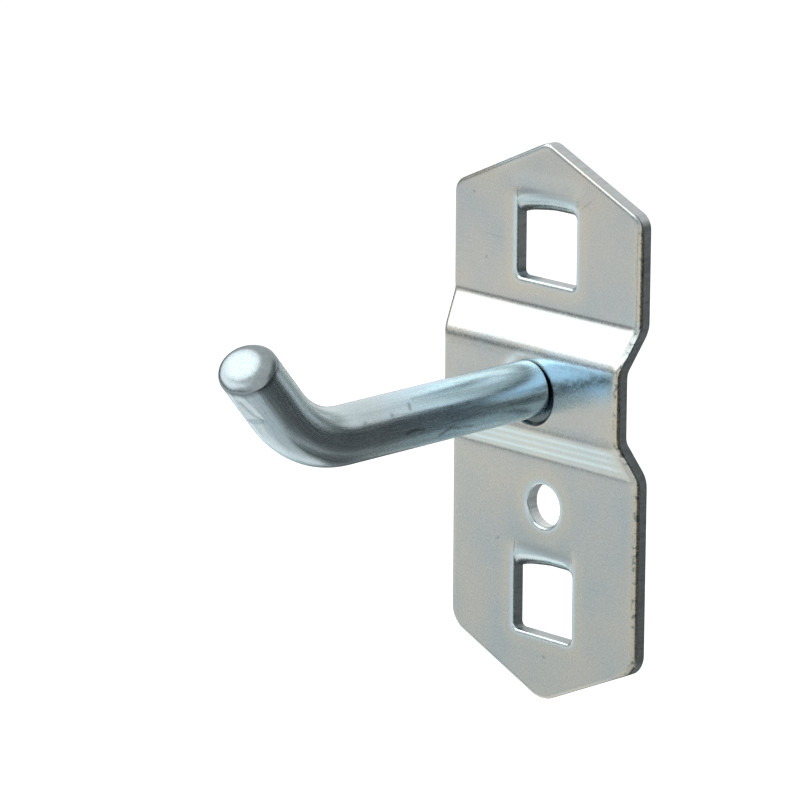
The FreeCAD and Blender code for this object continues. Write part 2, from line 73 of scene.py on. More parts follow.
class PlateSlot(Enum):
    """The places of the plate's materials on its mesh."""

    FACE = 0
    CUT = 1
    PUNCHED = 2


class Look(Enum):
    """What the meshes carry at their points for the finishes, with the name of each attribute."""

    WEAR = "edge_wear"
    # Painted shade: the seat's crescent shadow, a dark reflection beside the peg and lines along the folds.
    MARK = "painted_shade"
    # Painted highlights on the plate's edges, bends, facets, lower fold and over the peg's seat.
    HIGHLIGHT = "painted_highlight"
    # The peg's painted blue reflection on the band beside it.
    REFLECTION = "painted_blue_reflection"
    SHADE = "shade"
    END_FACE = "end_face"
    # Scuffed marks, and painted shade on the peg's end rim and beside the arm's flat.
    SCUFF_AND_SHADE = "scuffs_and_shade"


@dataclass(frozen=True)
class PlateSizes:
    """Sizes of the back plate, as in the solids, and the steps of its mesh."""

    height: float = 39.4
    width: float = 17.4
    hole_to_bottom: float = 14.0
    gable: float = 4.0
    shoulder_radius: float = 1.2
    lower_shoulder_radius: float = 1.7
    upper_tip_radius: float = 1.3
    lower_tip_radius: float = 2.36
    waist_radius: float = 4.0
    sheet: float = 1.0
    band_offset: float = 1.5
    band_flat: float = 4.3
    band_inset: float = 0.56
    fold_height: float = 3.4
    fold_radius: float = 1.0
    hole_diameter: float = 3.0
    window_width: float = 5.5
    window_height: float = 6.25
    window_corner: float = 0.4
    lug_pitch: float = 25.0
    lug_lift: float = 3.75
    lug_clearance: float = 0.03
    lug_radius: float = 0.5
    lug_corner: float = 0.3
    board_gap: float = 1.2
    lug_rise: float = 0.95
    lug_reach: float = 4.4
    peg_height: float = 8.6
    seat_radius: float = 2.25
    seat_drop: float = 0.35
    seat_depth: float = 0.28
    seat_slope: float = 1.3
    spigot_bore_radius: float = 1.43
    edge_step: float = 0.12
    grid_step: float = 0.3
    fold_step: float = 0.12

    @property
    def bottom(self) -> float:
        """Height of the lower tip, from the screw hole's middle."""
        return -self.hole_to_bottom

    @property
    def top(self) -> float:
        """Height of the upper tip."""
        return self.height - self.hole_to_bottom

    @property
    def rise(self) -> float:
        """Half the height of the band with both its folds."""
        return self.band_flat / 2 + self.fold_height

    @property
    def slope(self) -> float:
        """The sloping walls' angle from the flanges, in radians."""
        bends = 2 * self.fold_radius + self.sheet
        over = bends - self.band_offset
        return math.asin(bends / math.hypot(self.fold_height, over)) - math.atan2(over, self.fold_height)

    @property
    def seat_height(self) -> float:
        """Height of the recess's middle, which is a little below the peg's."""
        return self.peg_height - self.seat_drop

    def bend_line(self, lug: Lug) -> float:
        """Height of a lug's bend line."""
        return self.height / 2 - self.hole_to_bottom + self.lug_lift + lug.value * self.lug_pitch / 2


@dataclass(frozen=True)
class PegSizes:
    """Sizes of the peg, as in the solids, of its tool marks and of its mesh."""

    height: float = 8.6
    radius: float = 2.0
    root: float = -2.3
    run: float = 17.8
    bend_radius: float = 7.6
    bend_angle: float = math.radians(50.5)
    arm: float = 4.45
    skew: float = math.radians(11.0)
    skew_power: float = 1.5
    tip_fall: float = 0.46
    tip_inset: float = 0.85
    face_aside: float = -0.32
    root_chamfer: float = 0.35
    spigot_radius: float = 1.4
    band_back: float = -1.5
    head_radius: float = 2.2
    head_height: float = 1.2
    arm_flat_turn: float = math.radians(11.0)
    arm_flat_place: float = 2.55
    arm_flat_depth: float = 0.17
    arm_flat_half: float = 1.45
    bend_flat_turn: float = math.radians(13)
    bend_flat_aside: float = 0.15
    bend_flat_depth: float = 0.06
    bend_flat_half: float = 0.55
    around: int = 96
    rings: int = 260
    round_rings: int = 14
    face_rings: int = 6
    head_rings: int = 12

    @property
    def bend_length(self) -> float:
        """Length of the bend along the wire's middle line."""
        return self.bend_radius * self.bend_angle

    @property
    def length(self) -> float:
        """Length of the wire's middle line from its shoulder to its end face."""
        return self.run + self.bend_length + self.arm

    def on_bend(self, turn: float) -> np.ndarray:
        """The place of the wire's middle line where the bend has turned by an angle."""
        reach = self.bend_radius * math.sin(turn)
        lift = self.bend_radius * (1 - math.cos(turn))
        return np.array((0.0, self.root - self.run - reach, self.height + lift))


class NodeTree:
    """A node tree, with short ways to add nodes and link them."""

    def __init__(self, tree: bpy.types.NodeTree) -> None:
        """Keeps the tree and empties it."""
        self.tree = tree
        self.tree.nodes.clear()

    def add(self, kind: str, inputs: dict[Any, Any] | None = None, **settings: Any) -> bpy.types.Node:
        """Adds a node.

        Args:
            kind: the node's type name.
            inputs: values or output sockets for its inputs, by name or number.
            **settings: the node's own properties.

        Returns:
            The new node.
        """
        node = self.tree.nodes.new(kind)
        for key, value in settings.items():
            setattr(node, key, value)
        for key, value in (inputs or {}).items():
            socket = node.inputs[key]
            if isinstance(value, Socket):
                self.tree.links.new(value, socket)
            else:
                socket.default_value = value
        return node

    def math(self, operation: str, first: Any, second: Any = 0.0) -> Socket:
        """The sum, product or other operation of two values."""
        return self.add("ShaderNodeMath", {0: first, 1: second}, operation=operation).outputs["Value"]

    def between(self, value: Socket, low: float, high: float, start: float = 0.0, end: float = 1.0) -> Socket:
        """The value mapped, and held, from one range to another."""
        inputs = {"Value": value, "From Min": low, "From Max": high, "To Min": start, "To Max": end}
        return self.add("ShaderNodeMapRange", inputs).outputs["Result"]

    def seen(self) -> Socket:
        """A value that is 1 for what the camera sees directly, mirrored or through glass."""
        rays = self.add("ShaderNodeLightPath").outputs
        plain = self.math("MAXIMUM", rays["Is Camera Ray"], rays["Is Glossy Ray"])
        return self.math("MAXIMUM", plain, rays["Is Transmission Ray"])


@dataclass(frozen=True)
class Scratch:
    """A scratch or a speck on the plate's front, by its ends across and up the plate, in millimetres."""

    start: tuple[float, float]
    end: tuple[float, float]
    half_width: float
    strength: float
    depth: float = 1.2


class MaterialNodes(NodeTree):
    """A material's node tree."""

    def __init__(self, name: str) -> None:
        """Makes an empty material of that name."""
        self.material = bpy.data.materials.new(name)
        self.material.use_nodes = True
        super().__init__(self.material.node_tree)

    def noise(self, vector: Socket, scale: float, detail: float) -> Socket:
        """A noise pattern's grey value, at a scale per unit of the vector."""
        node = self.add("ShaderNodeTexNoise", {"Vector": vector, "Scale": scale, "Detail": detail})
        return node.outputs["Fac"]

    def stretched(self, vector: Socket, scale: Triple) -> Socket:
        """The vector with each of its axes scaled."""
        return self.add("ShaderNodeMapping", {"Vector": vector, "Scale": scale}).outputs["Vector"]

    def blend(self, factor: Any, first: Any, second: Any, mode: str = "MIX") -> Socket:
        """One colour blended over another."""
        inputs = {"Factor": factor, 6: first, 7: second}
        return self.add("ShaderNodeMix", inputs, data_type="RGBA", blend_type=mode).outputs[2]

    def mix(self, factor: Any, first: Any, second: Any) -> Socket:
        """A value between two others."""
        return self.add("ShaderNodeMix", {0: factor, 2: first, 3: second}, data_type="FLOAT").outputs[0]

    def look(self, look: Look) -> Socket:
        """A value that the mesh carries at its points."""
        return self.add("ShaderNodeAttribute", attribute_name=look.value).outputs["Fac"]

    def scratch(self, place: Socket, mark: Scratch) -> Socket:
        """A value that is strongest along the middle of a scratch on the plate's front and 0 away from it."""
        (x0, z0), (x1, z1) = mark.start, mark.end
        half = (math.hypot(x1 - x0, z1 - z0) / 2 + mark.half_width) * MM
        turned = {
            "Vector": place,
            "Location": ((x0 + x1) / 2 * MM, -mark.depth * MM, (z0 + z1) / 2 * MM),
            "Rotation": (0.0, -math.atan2(z1 - z0, x1 - x0), 0.0),
            "Scale": (half, mark.depth * MM, mark.half_width * MM),
        }
        local = self.add("ShaderNodeMapping", turned, vector_type="TEXTURE").outputs["Vector"]
        away = self.add("ShaderNodeVectorMath", {0: local}, operation="LENGTH").outputs["Value"]
        return self.between(away, 0.2, 1.0, mark.strength, 0.0)

    def close(self, color: Any, roughness: Any, height: Any, depth: float) -> bpy.types.Material:
        """Ends the tree in a metal surface.

        Args:
            color: the metal's colour.
            roughness: its roughness.
            height: the relief that its bump follows.
            depth: that relief's depth in metres.

        Returns:
            The finished material.
        """
        bump = self.add("ShaderNodeBump", {"Strength": 1.0, "Distance": depth, "Height": height})
        inputs = {"Base Color": color, "Metallic": 1.0, "Roughness": roughness, "Normal": bump.outputs["Normal"]}
        surface = self.add("ShaderNodeBsdfPrincipled", inputs)
        self.add("ShaderNodeOutputMaterial", {"Surface": surface.outputs["BSDF"]})
        return self.material

    def close_matt(self, color: Any, glow_color: Any, glow: Any) -> bpy.types.Material:
        """Ends the tree in a matt surface that also glows.

        Args:
            color: the surface's colour.
            glow_color: the colour of its glow.
            glow: how strong that is.

        Returns:
            The finished material.
        """
        matt = self.add("ShaderNodeBsdfDiffuse", {"Color": color}).outputs["BSDF"]
        lit = self.add("ShaderNodeEmission", {"Color": glow_color, "Strength": glow}).outputs["Emission"]
        both = self.add("ShaderNodeAddShader", {0: matt, 1: lit}).outputs["Shader"]
        self.add("ShaderNodeOutputMaterial", {"Surface": both})
        return self.material


@dataclass(frozen=True)
class SheetZinc:
    """Dull sheet zinc: a fine grain, warm and cool patches, rubbed edges, painted highlights, reflection and shade."""

    warm: Color = (0.52, 0.505, 0.455, 1.0)
    cool: Color = (0.435, 0.47, 0.47, 1.0)
    rubbed: Color = (0.62, 0.56, 0.44, 1.0)
    # Colour of the painted highlights.
    highlighted: Color = (0.65, 0.75, 0.77, 1.0)
    # Colour of the peg's painted blue reflection.
    reflected_blue: Color = (0.62, 0.81, 0.96, 1.0)
    # Dark for scratches and wear specks, and for the painted shade and dark reflection.
    darkened: Color = (0.14, 0.165, 0.17, 1.0)
    shaded: Color = (0.15, 0.215, 0.25, 1.0)
    scratches: tuple[Scratch, ...] = (
        Scratch((2.95, 21.1), (4.5, 22.25), 0.07, 0.4),
        Scratch((-6.2, 18.3), (-3.5, 18.1), 0.06, 0.3),
        Scratch((-6.85, 20.95), (-6.8, 20.95), 0.13, 0.6),
        Scratch((-5.65, 16.53), (-5.6, 16.6), 0.14, 0.5),
        Scratch((-4.4, -3.2), (-4.1, -3.0), 0.12, 0.5),
        Scratch((0.1, -10.7), (0.35, -10.75), 0.13, 0.5),
    )
    grain_scale: float = 7000.0
    patch_scale: float = 170.0
    dirt_scale: float = 2600.0
    roughness: float = 0.23
    relief: float = 0.000004

    def material(self) -> bpy.types.Material:
        """Builds the material."""
        nodes = MaterialNodes("zinc_sheet")
        place = nodes.add("ShaderNodeTexCoord").outputs["Object"]
        grain = nodes.noise(place, self.grain_scale, 4.0)
        patches = nodes.noise(place, self.patch_scale, 3.0)
        tone = nodes.blend(nodes.between(patches, 0.35, 0.65), self.warm, self.cool)
        tone = nodes.blend(1.0, tone, nodes.between(grain, 0.3, 0.7, 0.90, 1.10), "MULTIPLY")
        wear = nodes.look(Look.WEAR)
        worn = nodes.math("MULTIPLY", wear, nodes.between(grain, 0.25, 0.5))
        tone = nodes.blend(worn, tone, self.rubbed)
        # Painted highlights on edges, bends, facets, the lower fold and over the seat.
        tone = nodes.blend(nodes.look(Look.HIGHLIGHT), tone, self.highlighted)
        # The peg's painted blue reflection on the band.
        tone = nodes.blend(nodes.look(Look.REFLECTION), tone, self.reflected_blue)
        tone = nodes.blend(nodes.look(Look.SHADE), tone, self.shaded)
        dirt = nodes.noise(place, self.dirt_scale, 5.0)
        # Painted shade, broken up by this noise; it joins the wear specks and scratches in the dark colour.
        lines = nodes.math("MULTIPLY", nodes.look(Look.MARK), nodes.between(dirt, 0.35, 0.6, 0.3, 1.0))
        specks = nodes.math("MULTIPLY", nodes.between(wear, 0.45, 0.8, 0.0, 0.75), nodes.between(dirt, 0.55, 0.63))
        marks = nodes.math("MAXIMUM", lines, specks)
        for mark in self.scratches:
            marks = nodes.math("MAXIMUM", marks, nodes.scratch(place, mark))
        tone = nodes.blend(marks, tone, self.darkened)
        rough = nodes.between(grain, 0.25, 0.75, self.roughness - 0.05, self.roughness + 0.09)
        return nodes.close(tone, rough, grain, self.relief)


@dataclass(frozen=True)
class CutZinc:
    """Zinc over sheared edges: darker, with fine tears across the sheet's thickness."""

    name: str = "zinc_cut_edge"
    color: Color = (0.50, 0.53, 0.53, 1.0)
    shaded: Color = (0.07, 0.12, 0.145, 1.0)
    tear_scale: Triple = (6000.0, 900.0, 6000.0)
    roughness: float = 0.38
    relief: float = 0.000008

    def material(self) -> bpy.types.Material:
        """Builds the material."""
        nodes = MaterialNodes(self.name)
        place = nodes.add("ShaderNodeTexCoord").outputs["Object"]
        tears = nodes.noise(nodes.stretched(place, self.tear_scale), 1.0, 4.0)
        tone = nodes.blend(1.0, self.color, nodes.between(tears, 0.3, 0.7, 0.82, 1.12), "MULTIPLY")
        tone = nodes.blend(nodes.look(Look.SHADE), tone, self.shaded)
        rough = nodes.between(tears, 0.3, 0.7, self.roughness - 0.06, self.roughness + 0.1)
        return nodes.close(tone, rough, tears, self.relief)


@dataclass(frozen=True)
class WireZinc:
    """Bright zinc on drawn wire: bluish, with drawing streaks along it, small dark scuffed marks and painted shade.

    The stretches scale the coordinates along and round the wire, which are in millimetres.
    """

    color: Color = (0.47, 0.56, 0.59, 1.0)
    pale: Color = (0.58, 0.66, 0.68, 1.0)
    root_color: Color = (0.54, 0.75, 0.88, 1.0)
    root_pale: Color = (0.65, 0.86, 0.95, 1.0)
    # Dark for scuffed marks, and for painted shade on the end's rim and beside the arm's flat.
    darkening: Color = (0.13, 0.15, 0.16, 1.0)
    blue_end: tuple[float, float] = (12.0, 18.0)
    streak_stretch: Triple = (0.35, 7.0, 1.0)
    patch_stretch: Triple = (0.4, 0.9, 1.0)
    speck_stretch: Triple = (2.2, 6.0, 1.0)
    sheared_scale: float = 2500.0
    grain_scale: float = 8000.0
    speck_strength: float = 0.6
    streak_share: float = 0.7
    roughness: float = 0.25
    relief: float = 0.000009

    def material(self) -> bpy.types.Material:
        """Builds the material."""
        nodes = MaterialNodes("zinc_wire")
        coords = nodes.add("ShaderNodeTexCoord")
        along, place = coords.outputs["UV"], coords.outputs["Object"]
        drawn = nodes.noise(nodes.stretched(along, self.streak_stretch), 1.0, 4.0)
        sheared = nodes.noise(place, self.sheared_scale, 4.0)
        streaks = nodes.mix(nodes.look(Look.END_FACE), drawn, sheared)
        patches = nodes.noise(nodes.stretched(along, self.patch_stretch), 1.0, 3.0)
        specks = nodes.noise(nodes.stretched(along, self.speck_stretch), 1.0, 5.0)
        grain = nodes.noise(place, self.grain_scale, 3.0)
        streaky = nodes.between(streaks, 0.35, 0.65)
        reach = nodes.add("ShaderNodeSeparateXYZ", {"Vector": along}).outputs["X"]
        near_root = nodes.between(reach, *self.blue_end, 1.0, 0.0)
        tone = nodes.blend(streaky, self.color, self.pale)
        tone = nodes.blend(near_root, tone, nodes.blend(streaky, self.root_color, self.root_pale))
        tone = nodes.blend(1.0, tone, nodes.between(grain, 0.3, 0.7, 0.92, 1.08), "MULTIPLY")
        marks = nodes.math("MULTIPLY", nodes.between(specks, 0.62, 0.72), nodes.between(patches, 0.48, 0.65))
        # Adds the scuffed marks and the painted shade that the mesh carries.
        marks = nodes.math("MAXIMUM", nodes.math("MULTIPLY", marks, self.speck_strength), nodes.look(Look.SCUFF_AND_SHADE))
        tone = nodes.blend(marks, tone, self.darkening)
        rough = nodes.between(streaks, 0.3, 0.7, self.roughness - 0.05, self.roughness + 0.07)
        relief = nodes.math(
            "ADD",
            nodes.math("MULTIPLY", streaks, self.streak_share),
            nodes.math("MULTIPLY", grain, 1 - self.streak_share),
        )
        return nodes.close(tone, rough, relief, self.relief)


def rounded_loop(corners: Sequence[Triple], step: float) -> Loop:
    """A closed outline with rounded corners, as points about a step apart.

    Args:
        corners: each corner's two coordinates and its rounding, anticlockwise.
        step: the distance between points.

    Returns:
        The points, one row each.
    """
    points: list[np.ndarray] = []
    count = len(corners)
    for index, (x, z, radius) in enumerate(corners):
        here = np.array((x, z))
        before = np.array(corners[index - 1][:2]) - here
        after = np.array(corners[(index + 1) % count][:2]) - here
        before /= np.linalg.norm(before)
        after /= np.linalg.norm(after)
        if not radius:
            points.append(here)
            continue
        half = math.acos(float(np.clip(before @ after, -1, 1))) / 2
        reach = radius / math.tan(half)
        middle = here + (before + after) / np.linalg.norm(before + after) * radius / math.sin(half)
        first, last = here + before * reach - middle, here + after * reach - middle
        turn = math.atan2(first[0] * last[1] - first[1] * last[0], float(first @ last))
        parts = max(2, math.ceil(abs(turn) * radius / step))
        for part in range(parts + 1):
            angle = turn * part / parts
            c, s = math.cos(angle), math.sin(angle)
            points.append(middle + np.array((first[0] * c - first[1] * s, first[0] * s + first[1] * c)))
    return fill_steps(np.array(points), step)


def fill_steps(loop: Loop, step: float) -> Loop:
    """A closed outline with points added on its long straight runs."""
    filled: list[np.ndarray] = []
    for start, end in zip(loop, np.roll(loop, -1, axis=0)):
        parts = max(1, round(float(np.linalg.norm(end - start)) / step))
        filled.extend(start + (end - start) * part / parts for part in range(parts))
    return np.array(filled)


def circle_loop(middle: tuple[float, float], radius: float, step: float) -> Loop:
    """A circle as points about a step apart, anticlockwise."""
    count = max(24, math.ceil(2 * math.pi * radius / step))
    angles = np.linspace(0, 2 * math.pi, count, endpoint=False)
    return np.column_stack((middle[0] + radius * np.cos(angles), middle[1] + radius * np.sin(angles)))


def arc(middle: tuple[float, float], radius: float, start: float, end: float) -> list[tuple[float, float]]:
    """Fourteen points of an arc, after its first, between two angles in degrees."""
    turns = np.radians(np.linspace(start, end, 15))[1:]
    return [(middle[0] + radius * math.cos(t), middle[1] + radius * math.sin(t)) for t in turns]


def offset_loop(loop: Loop, distance: float) -> Loop:
    """The outline moved to its left, which is inwards where it runs anticlockwise."""
    along = np.roll(loop, -1, axis=0) - np.roll(loop, 1, axis=0)
    along /= np.linalg.norm(along, axis=1)[:, None]
    return loop + distance * np.column_stack((-along[:, 1], along[:, 0]))


def inside(points: np.ndarray, loop: Loop) -> np.ndarray:
    """Which of the points lie inside a closed outline."""
    result = np.zeros(len(points), bool)
    for start, end in zip(loop, np.roll(loop, -1, axis=0)):
        if start[1] == end[1]:
            continue
        spans = (points[:, 1] < start[1]) != (points[:, 1] < end[1])
        crossing = start[0] + (points[:, 1] - start[1]) * (end[0] - start[0]) / (end[1] - start[1])
        result ^= spans & (points[:, 0] < crossing)
    return result


def distances(points: np.ndarray, targets: np.ndarray) -> np.ndarray:
    """Each point's distance from the nearest of many targets, all in a plane."""
    tree = kdtree.KDTree(len(targets))
    for index, (x, z) in enumerate(targets):
        tree.insert((x, z, 0), index)
    tree.balance()
    return np.array([tree.find((x, z, 0))[2] for x, z in points])


def line_gaps(points: np.ndarray, start: np.ndarray, end: np.ndarray) -> np.ndarray:
    """Each point's distance from a straight line between two ends."""
    run = end - start
    share = np.clip(((points - start) @ run) / (run @ run), 0, 1)
    return np.linalg.norm(points - start - share[:, None] * run, axis=1)


def quarter_round(distance: np.ndarray, width: np.ndarray | float, depth: np.ndarray | float) -> np.ndarray:
    """How far a rounded edge has dropped at a distance from it."""
    share = np.clip(1 - distance / width, 0, 1)
    return depth * (1 - np.sqrt(1 - share**2))


def bell(values: np.ndarray | float, middle: np.ndarray | float, spread: float) -> np.ndarray:
    """A smooth hump of height 1."""
    return np.exp(-(((values - middle) / spread) ** 2))


def ramp(values: np.ndarray | float, start: float, length: float) -> np.ndarray:
    """A slope from 0 at the start to 1 after the length, which is negative where the slope goes the other way."""
    return np.clip((values - start) / length, 0, 1)


def mesh_object(name: str, points: np.ndarray, faces: Sequence[Sequence[int]]) -> bpy.types.Object:
    """Makes a mesh object from points in millimetres, with outward faces.

    Args:
        name: the piece's name.
        points: its points.
        faces: its faces, as numbers of points.

    Returns:
        The object, linked to the scene.
    """
    mesh = bpy.data.meshes.new(name)
    mesh.from_pydata((points * MM).tolist(), [], [list(face) for face in faces])
    work = bmesh.new()
    work.from_mesh(mesh)
    bmesh.ops.recalc_face_normals(work, faces=work.faces)
    work.to_mesh(mesh)
    work.free()
    mesh.update()
    piece = bpy.data.objects.new(name, mesh)
    bpy.context.scene.collection.objects.link(piece)
    return piece


def smooth(piece: bpy.types.Object, angle: float) -> None:
    """Shades a piece smooth, with a sharp edge wherever faces meet at more than the angle in degrees."""
    piece.data.polygons.foreach_set("use_smooth", [True] * len(piece.data.polygons))
    piece.data.set_sharp_from_angle(angle=math.radians(angle))


def carry(piece: bpy.types.Object, look: Look, values: Sequence[float]) -> None:
    """Writes one value for each point of a piece, which its finish reads."""
    attribute = piece.data.attributes.new(look.value, "FLOAT", "POINT")
    attribute.data.foreach_set("value", np.asarray(values, np.float32))


@dataclass(frozen=True)
class SheetEdge:
    """One closed edge of the flat sheet: its points, its finish and the lug that goes on from its last points."""

    points: Loop
    slot: PlateSlot = PlateSlot.CUT
    lug: Lug | None = None
    shared: int = 0


class SheetPlaces(NamedTuple):
    """The sheet's points, across and up it, and their distances from its rolled edges and from its outline."""

    x: np.ndarray
    z: np.ndarray
    edge_gap: np.ndarray
    rim_gap: np.ndarray


class FlatSheet:
    """The plate as seen from the front: its edges, and the points and triangles that fill the sheet between them."""

    RING_OFFSETS = (0.03, 0.075, 0.13, 0.2, 0.3, 0.42, 0.6, 0.85)
    SEAT_RINGS = (1.95, 2.03, 2.1, 2.16, 2.2, 2.225, 2.25, 2.275, 2.31, 2.36, 2.43, 2.52, 2.66)
    LUG_RINGS = 6
    HOLE_STEP = 0.1
    BORE_STEP = 0.14
    SEAT_STEP = 0.12
    # Distances are measured to points this close together along the edges.
    DENSE_STEP = 0.02
    DENSE_BORE_STEP = 0.05
    # A window's sides are not rolled this close under its bend line.
    UNROLLED = 1.0
    # How clear the rings, the grid and the seat's rings keep of each other.
    RING_CLEAR = 0.93
    GRID_CLEAR = 0.1
    SEAT_CLEAR = 0.05
    # Triangles of less than half this area, along straight edges, are left out.
    SLIVER = 1e-5
    MERGE = 1e-7

    def __init__(self, sizes: PlateSizes) -> None:
        """Lays out the edges and fills the sheet between them."""
        self.sizes = sizes
        self.edges = [
            SheetEdge(self.outline()),
            SheetEdge(circle_loop((0, 0), sizes.hole_diameter / 2, self.HOLE_STEP), PlateSlot.PUNCHED),
            *(self.window(lug) for lug in Lug),
            SheetEdge(circle_loop((0, sizes.peg_height), sizes.spigot_bore_radius, self.BORE_STEP)),
        ]
        self.rim = fill_steps(self.edges[0].points, self.DENSE_STEP)
        self.rolled = self.rolled_edges()
        self.points = self.fill()
        self.triangles = self.triangulate()

    def outline(self) -> Loop:
        """The plate's outer edge, seen from the front."""
        s = self.sizes
        half, waist = s.width / 2, s.width / 2 - s.band_inset
        flat = s.band_flat / 2
        right = [
            (half, s.bottom + s.gable, s.lower_shoulder_radius),
            (half, s.peg_height - s.rise, s.waist_radius),
            (waist, s.peg_height - flat, s.waist_radius),
            (waist, s.peg_height + flat, s.waist_radius),
            (half, s.peg_height + s.rise, s.waist_radius),
            (half, s.top - s.gable, s.shoulder_radius),
        ]
        left = [(-x, z, radius) for x, z, radius in reversed(right)]
        tips = ((0, s.bottom, s.lower_tip_radius), (0, s.top, s.upper_tip_radius))
        return rounded_loop([tips[0], *right, tips[1], *left], s.edge_step)

    def lug_places(self) -> np.ndarray:
        """Where points stand across a lug, from right to left, closer together near its sides."""
        s = self.sizes
        half = s.window_width / 2 - s.lug_clearance
        near = [0.0, *self.RING_OFFSETS[: self.LUG_RINGS]]
        inner = half - near[-1]
        middle = np.linspace(inner, -inner, round(2 * inner / s.grid_step) + 1)
        side = half - np.array(near[:-1])
        return np.concatenate((side, middle, -side[::-1]))

    def window(self, lug: Lug) -> SheetEdge:
        """The edge of a lug's window, anticlockwise, of which the last points run along the lug's bend line."""
        s = self.sizes
        half, bend = s.window_width / 2, s.bend_line(lug)
        low, r = bend - s.window_height, s.window_corner
        corners = [(-half, bend, 0), (-half, low, r), (half, low, r), (half, bend, 0)]
        open_loop = rounded_loop(corners, s.edge_step)
        last = int(np.argmin(np.hypot(open_loop[:, 0] - half, open_loop[:, 1] - bend)))
        across = self.lug_places()
        top = np.column_stack((across, np.full(len(across), bend)))
        return SheetEdge(np.concatenate((open_loop[: last + 1], top)), lug=lug, shared=len(across))

    def rolled_edges(self) -> np.ndarray:
        """Close points along the outline, the screw hole and the windows' free edges."""
        dense = [fill_steps(edge.points, self.DENSE_STEP) for edge in self.edges[:2]]
        for edge in self.edges:
            if edge.lug is not None:
                free = np.concatenate((edge.points[: len(edge.points) - edge.shared + 1], edge.points[-1:]))
                close = fill_steps(free, self.DENSE_STEP)
                dense.append(close[close[:, 1] < max(free[:, 1]) - self.UNROLLED])
        return np.concatenate(dense)

    def grid(self) -> np.ndarray:
        """A grid of points over the whole sheet, with closer rows on the folds."""
        s = self.sizes
        flat = s.band_flat / 2
        folds = [s.peg_height + away for away in (-s.rise, -flat, flat, s.rise)]
        levels = (s.bottom, *folds, s.top)
        steps = (s.grid_step, s.fold_step, s.grid_step, s.fold_step, s.grid_step)
        rows = np.concatenate([np.arange(*span) for span in zip(levels, levels[1:], steps)])
        columns = np.arange(-s.width / 2, s.width / 2 + s.grid_step, s.grid_step)
        return np.array([(x, z) for z in rows for x in columns])

    def from_seat(self, points: np.ndarray) -> np.ndarray:
        """Each point's distance from the middle of the peg's seat."""
        return np.hypot(points[:, 0], points[:, 1] - self.sizes.seat_height)

    def on_sheet(self, points: np.ndarray) -> np.ndarray:
        """Which of the points lie on the sheet and not in one of its holes."""
        outline, *holes = (edge.points for edge in self.edges)
        kept = inside(points, outline)
        for hole in holes:
            kept &= ~inside(points, hole)
        return kept

    def fill(self) -> np.ndarray:
        """The sheet's points: the edges, rings beside them, rings round the peg's seat and a grid between."""
        outline, hole, *windows, bore = loops = [edge.points for edge in self.edges]
        every = np.concatenate((self.rolled, *windows, fill_steps(bore, self.DENSE_BORE_STEP)))
        loose = []
        for loop in (outline, hole, *windows):
            for distance in self.RING_OFFSETS:
                ring = offset_loop(loop, distance if loop is outline else -distance)
                loose.append(ring[distances(ring, every) > distance * self.RING_CLEAR])
        seat_edge = self.SEAT_RINGS[-1]
        grid = self.grid()
        clear = distances(grid, every) > self.RING_OFFSETS[-1] + self.GRID_CLEAR
        loose.append(grid[clear & (self.from_seat(grid) > seat_edge + self.GRID_CLEAR)])
        points = np.concatenate(loose)
        kept = self.on_sheet(points) & (self.from_seat(points) > seat_edge + self.SEAT_CLEAR)
        middle = (0, self.sizes.seat_height)
        seat = [circle_loop(middle, radius, self.SEAT_STEP) for radius in self.SEAT_RINGS]
        return np.concatenate((*loops, *seat, points[kept]))

    def triangulate(self) -> np.ndarray:
        """The triangles between the sheet's points, as numbers of points."""
        sides: list[tuple[int, int]] = []
        for edge in self.edges:
            start, count = len(sides), len(edge.points)
            sides.extend((start + i, start + (i + 1) % count) for i in range(count))
        made = delaunay_2d_cdt([Vector(point) for point in self.points], sides, [], 0, self.MERGE)
        if len(made[0]) != len(self.points):
            raise RuntimeError("the plate's outline crosses itself")
        order = np.array([made[3][i][0] for i in range(len(made[0]))])
        triangles = order[np.array(made[2])]
        corners = self.points[triangles]
        first, second = (corners[:, i] - corners[:, 0] for i in (1, 2))
        doubled = np.abs(first[:, 0] * second[:, 1] - first[:, 1] * second[:, 0])
        return triangles[self.on_sheet(corners.mean(axis=1)) & (doubled > self.SLIVER)]

    def places(self) -> SheetPlaces:
        """The sheet's points with their distances from its edges."""
        return SheetPlaces(*self.points.T, distances(self.points, self.rolled), distances(self.points, self.rim))


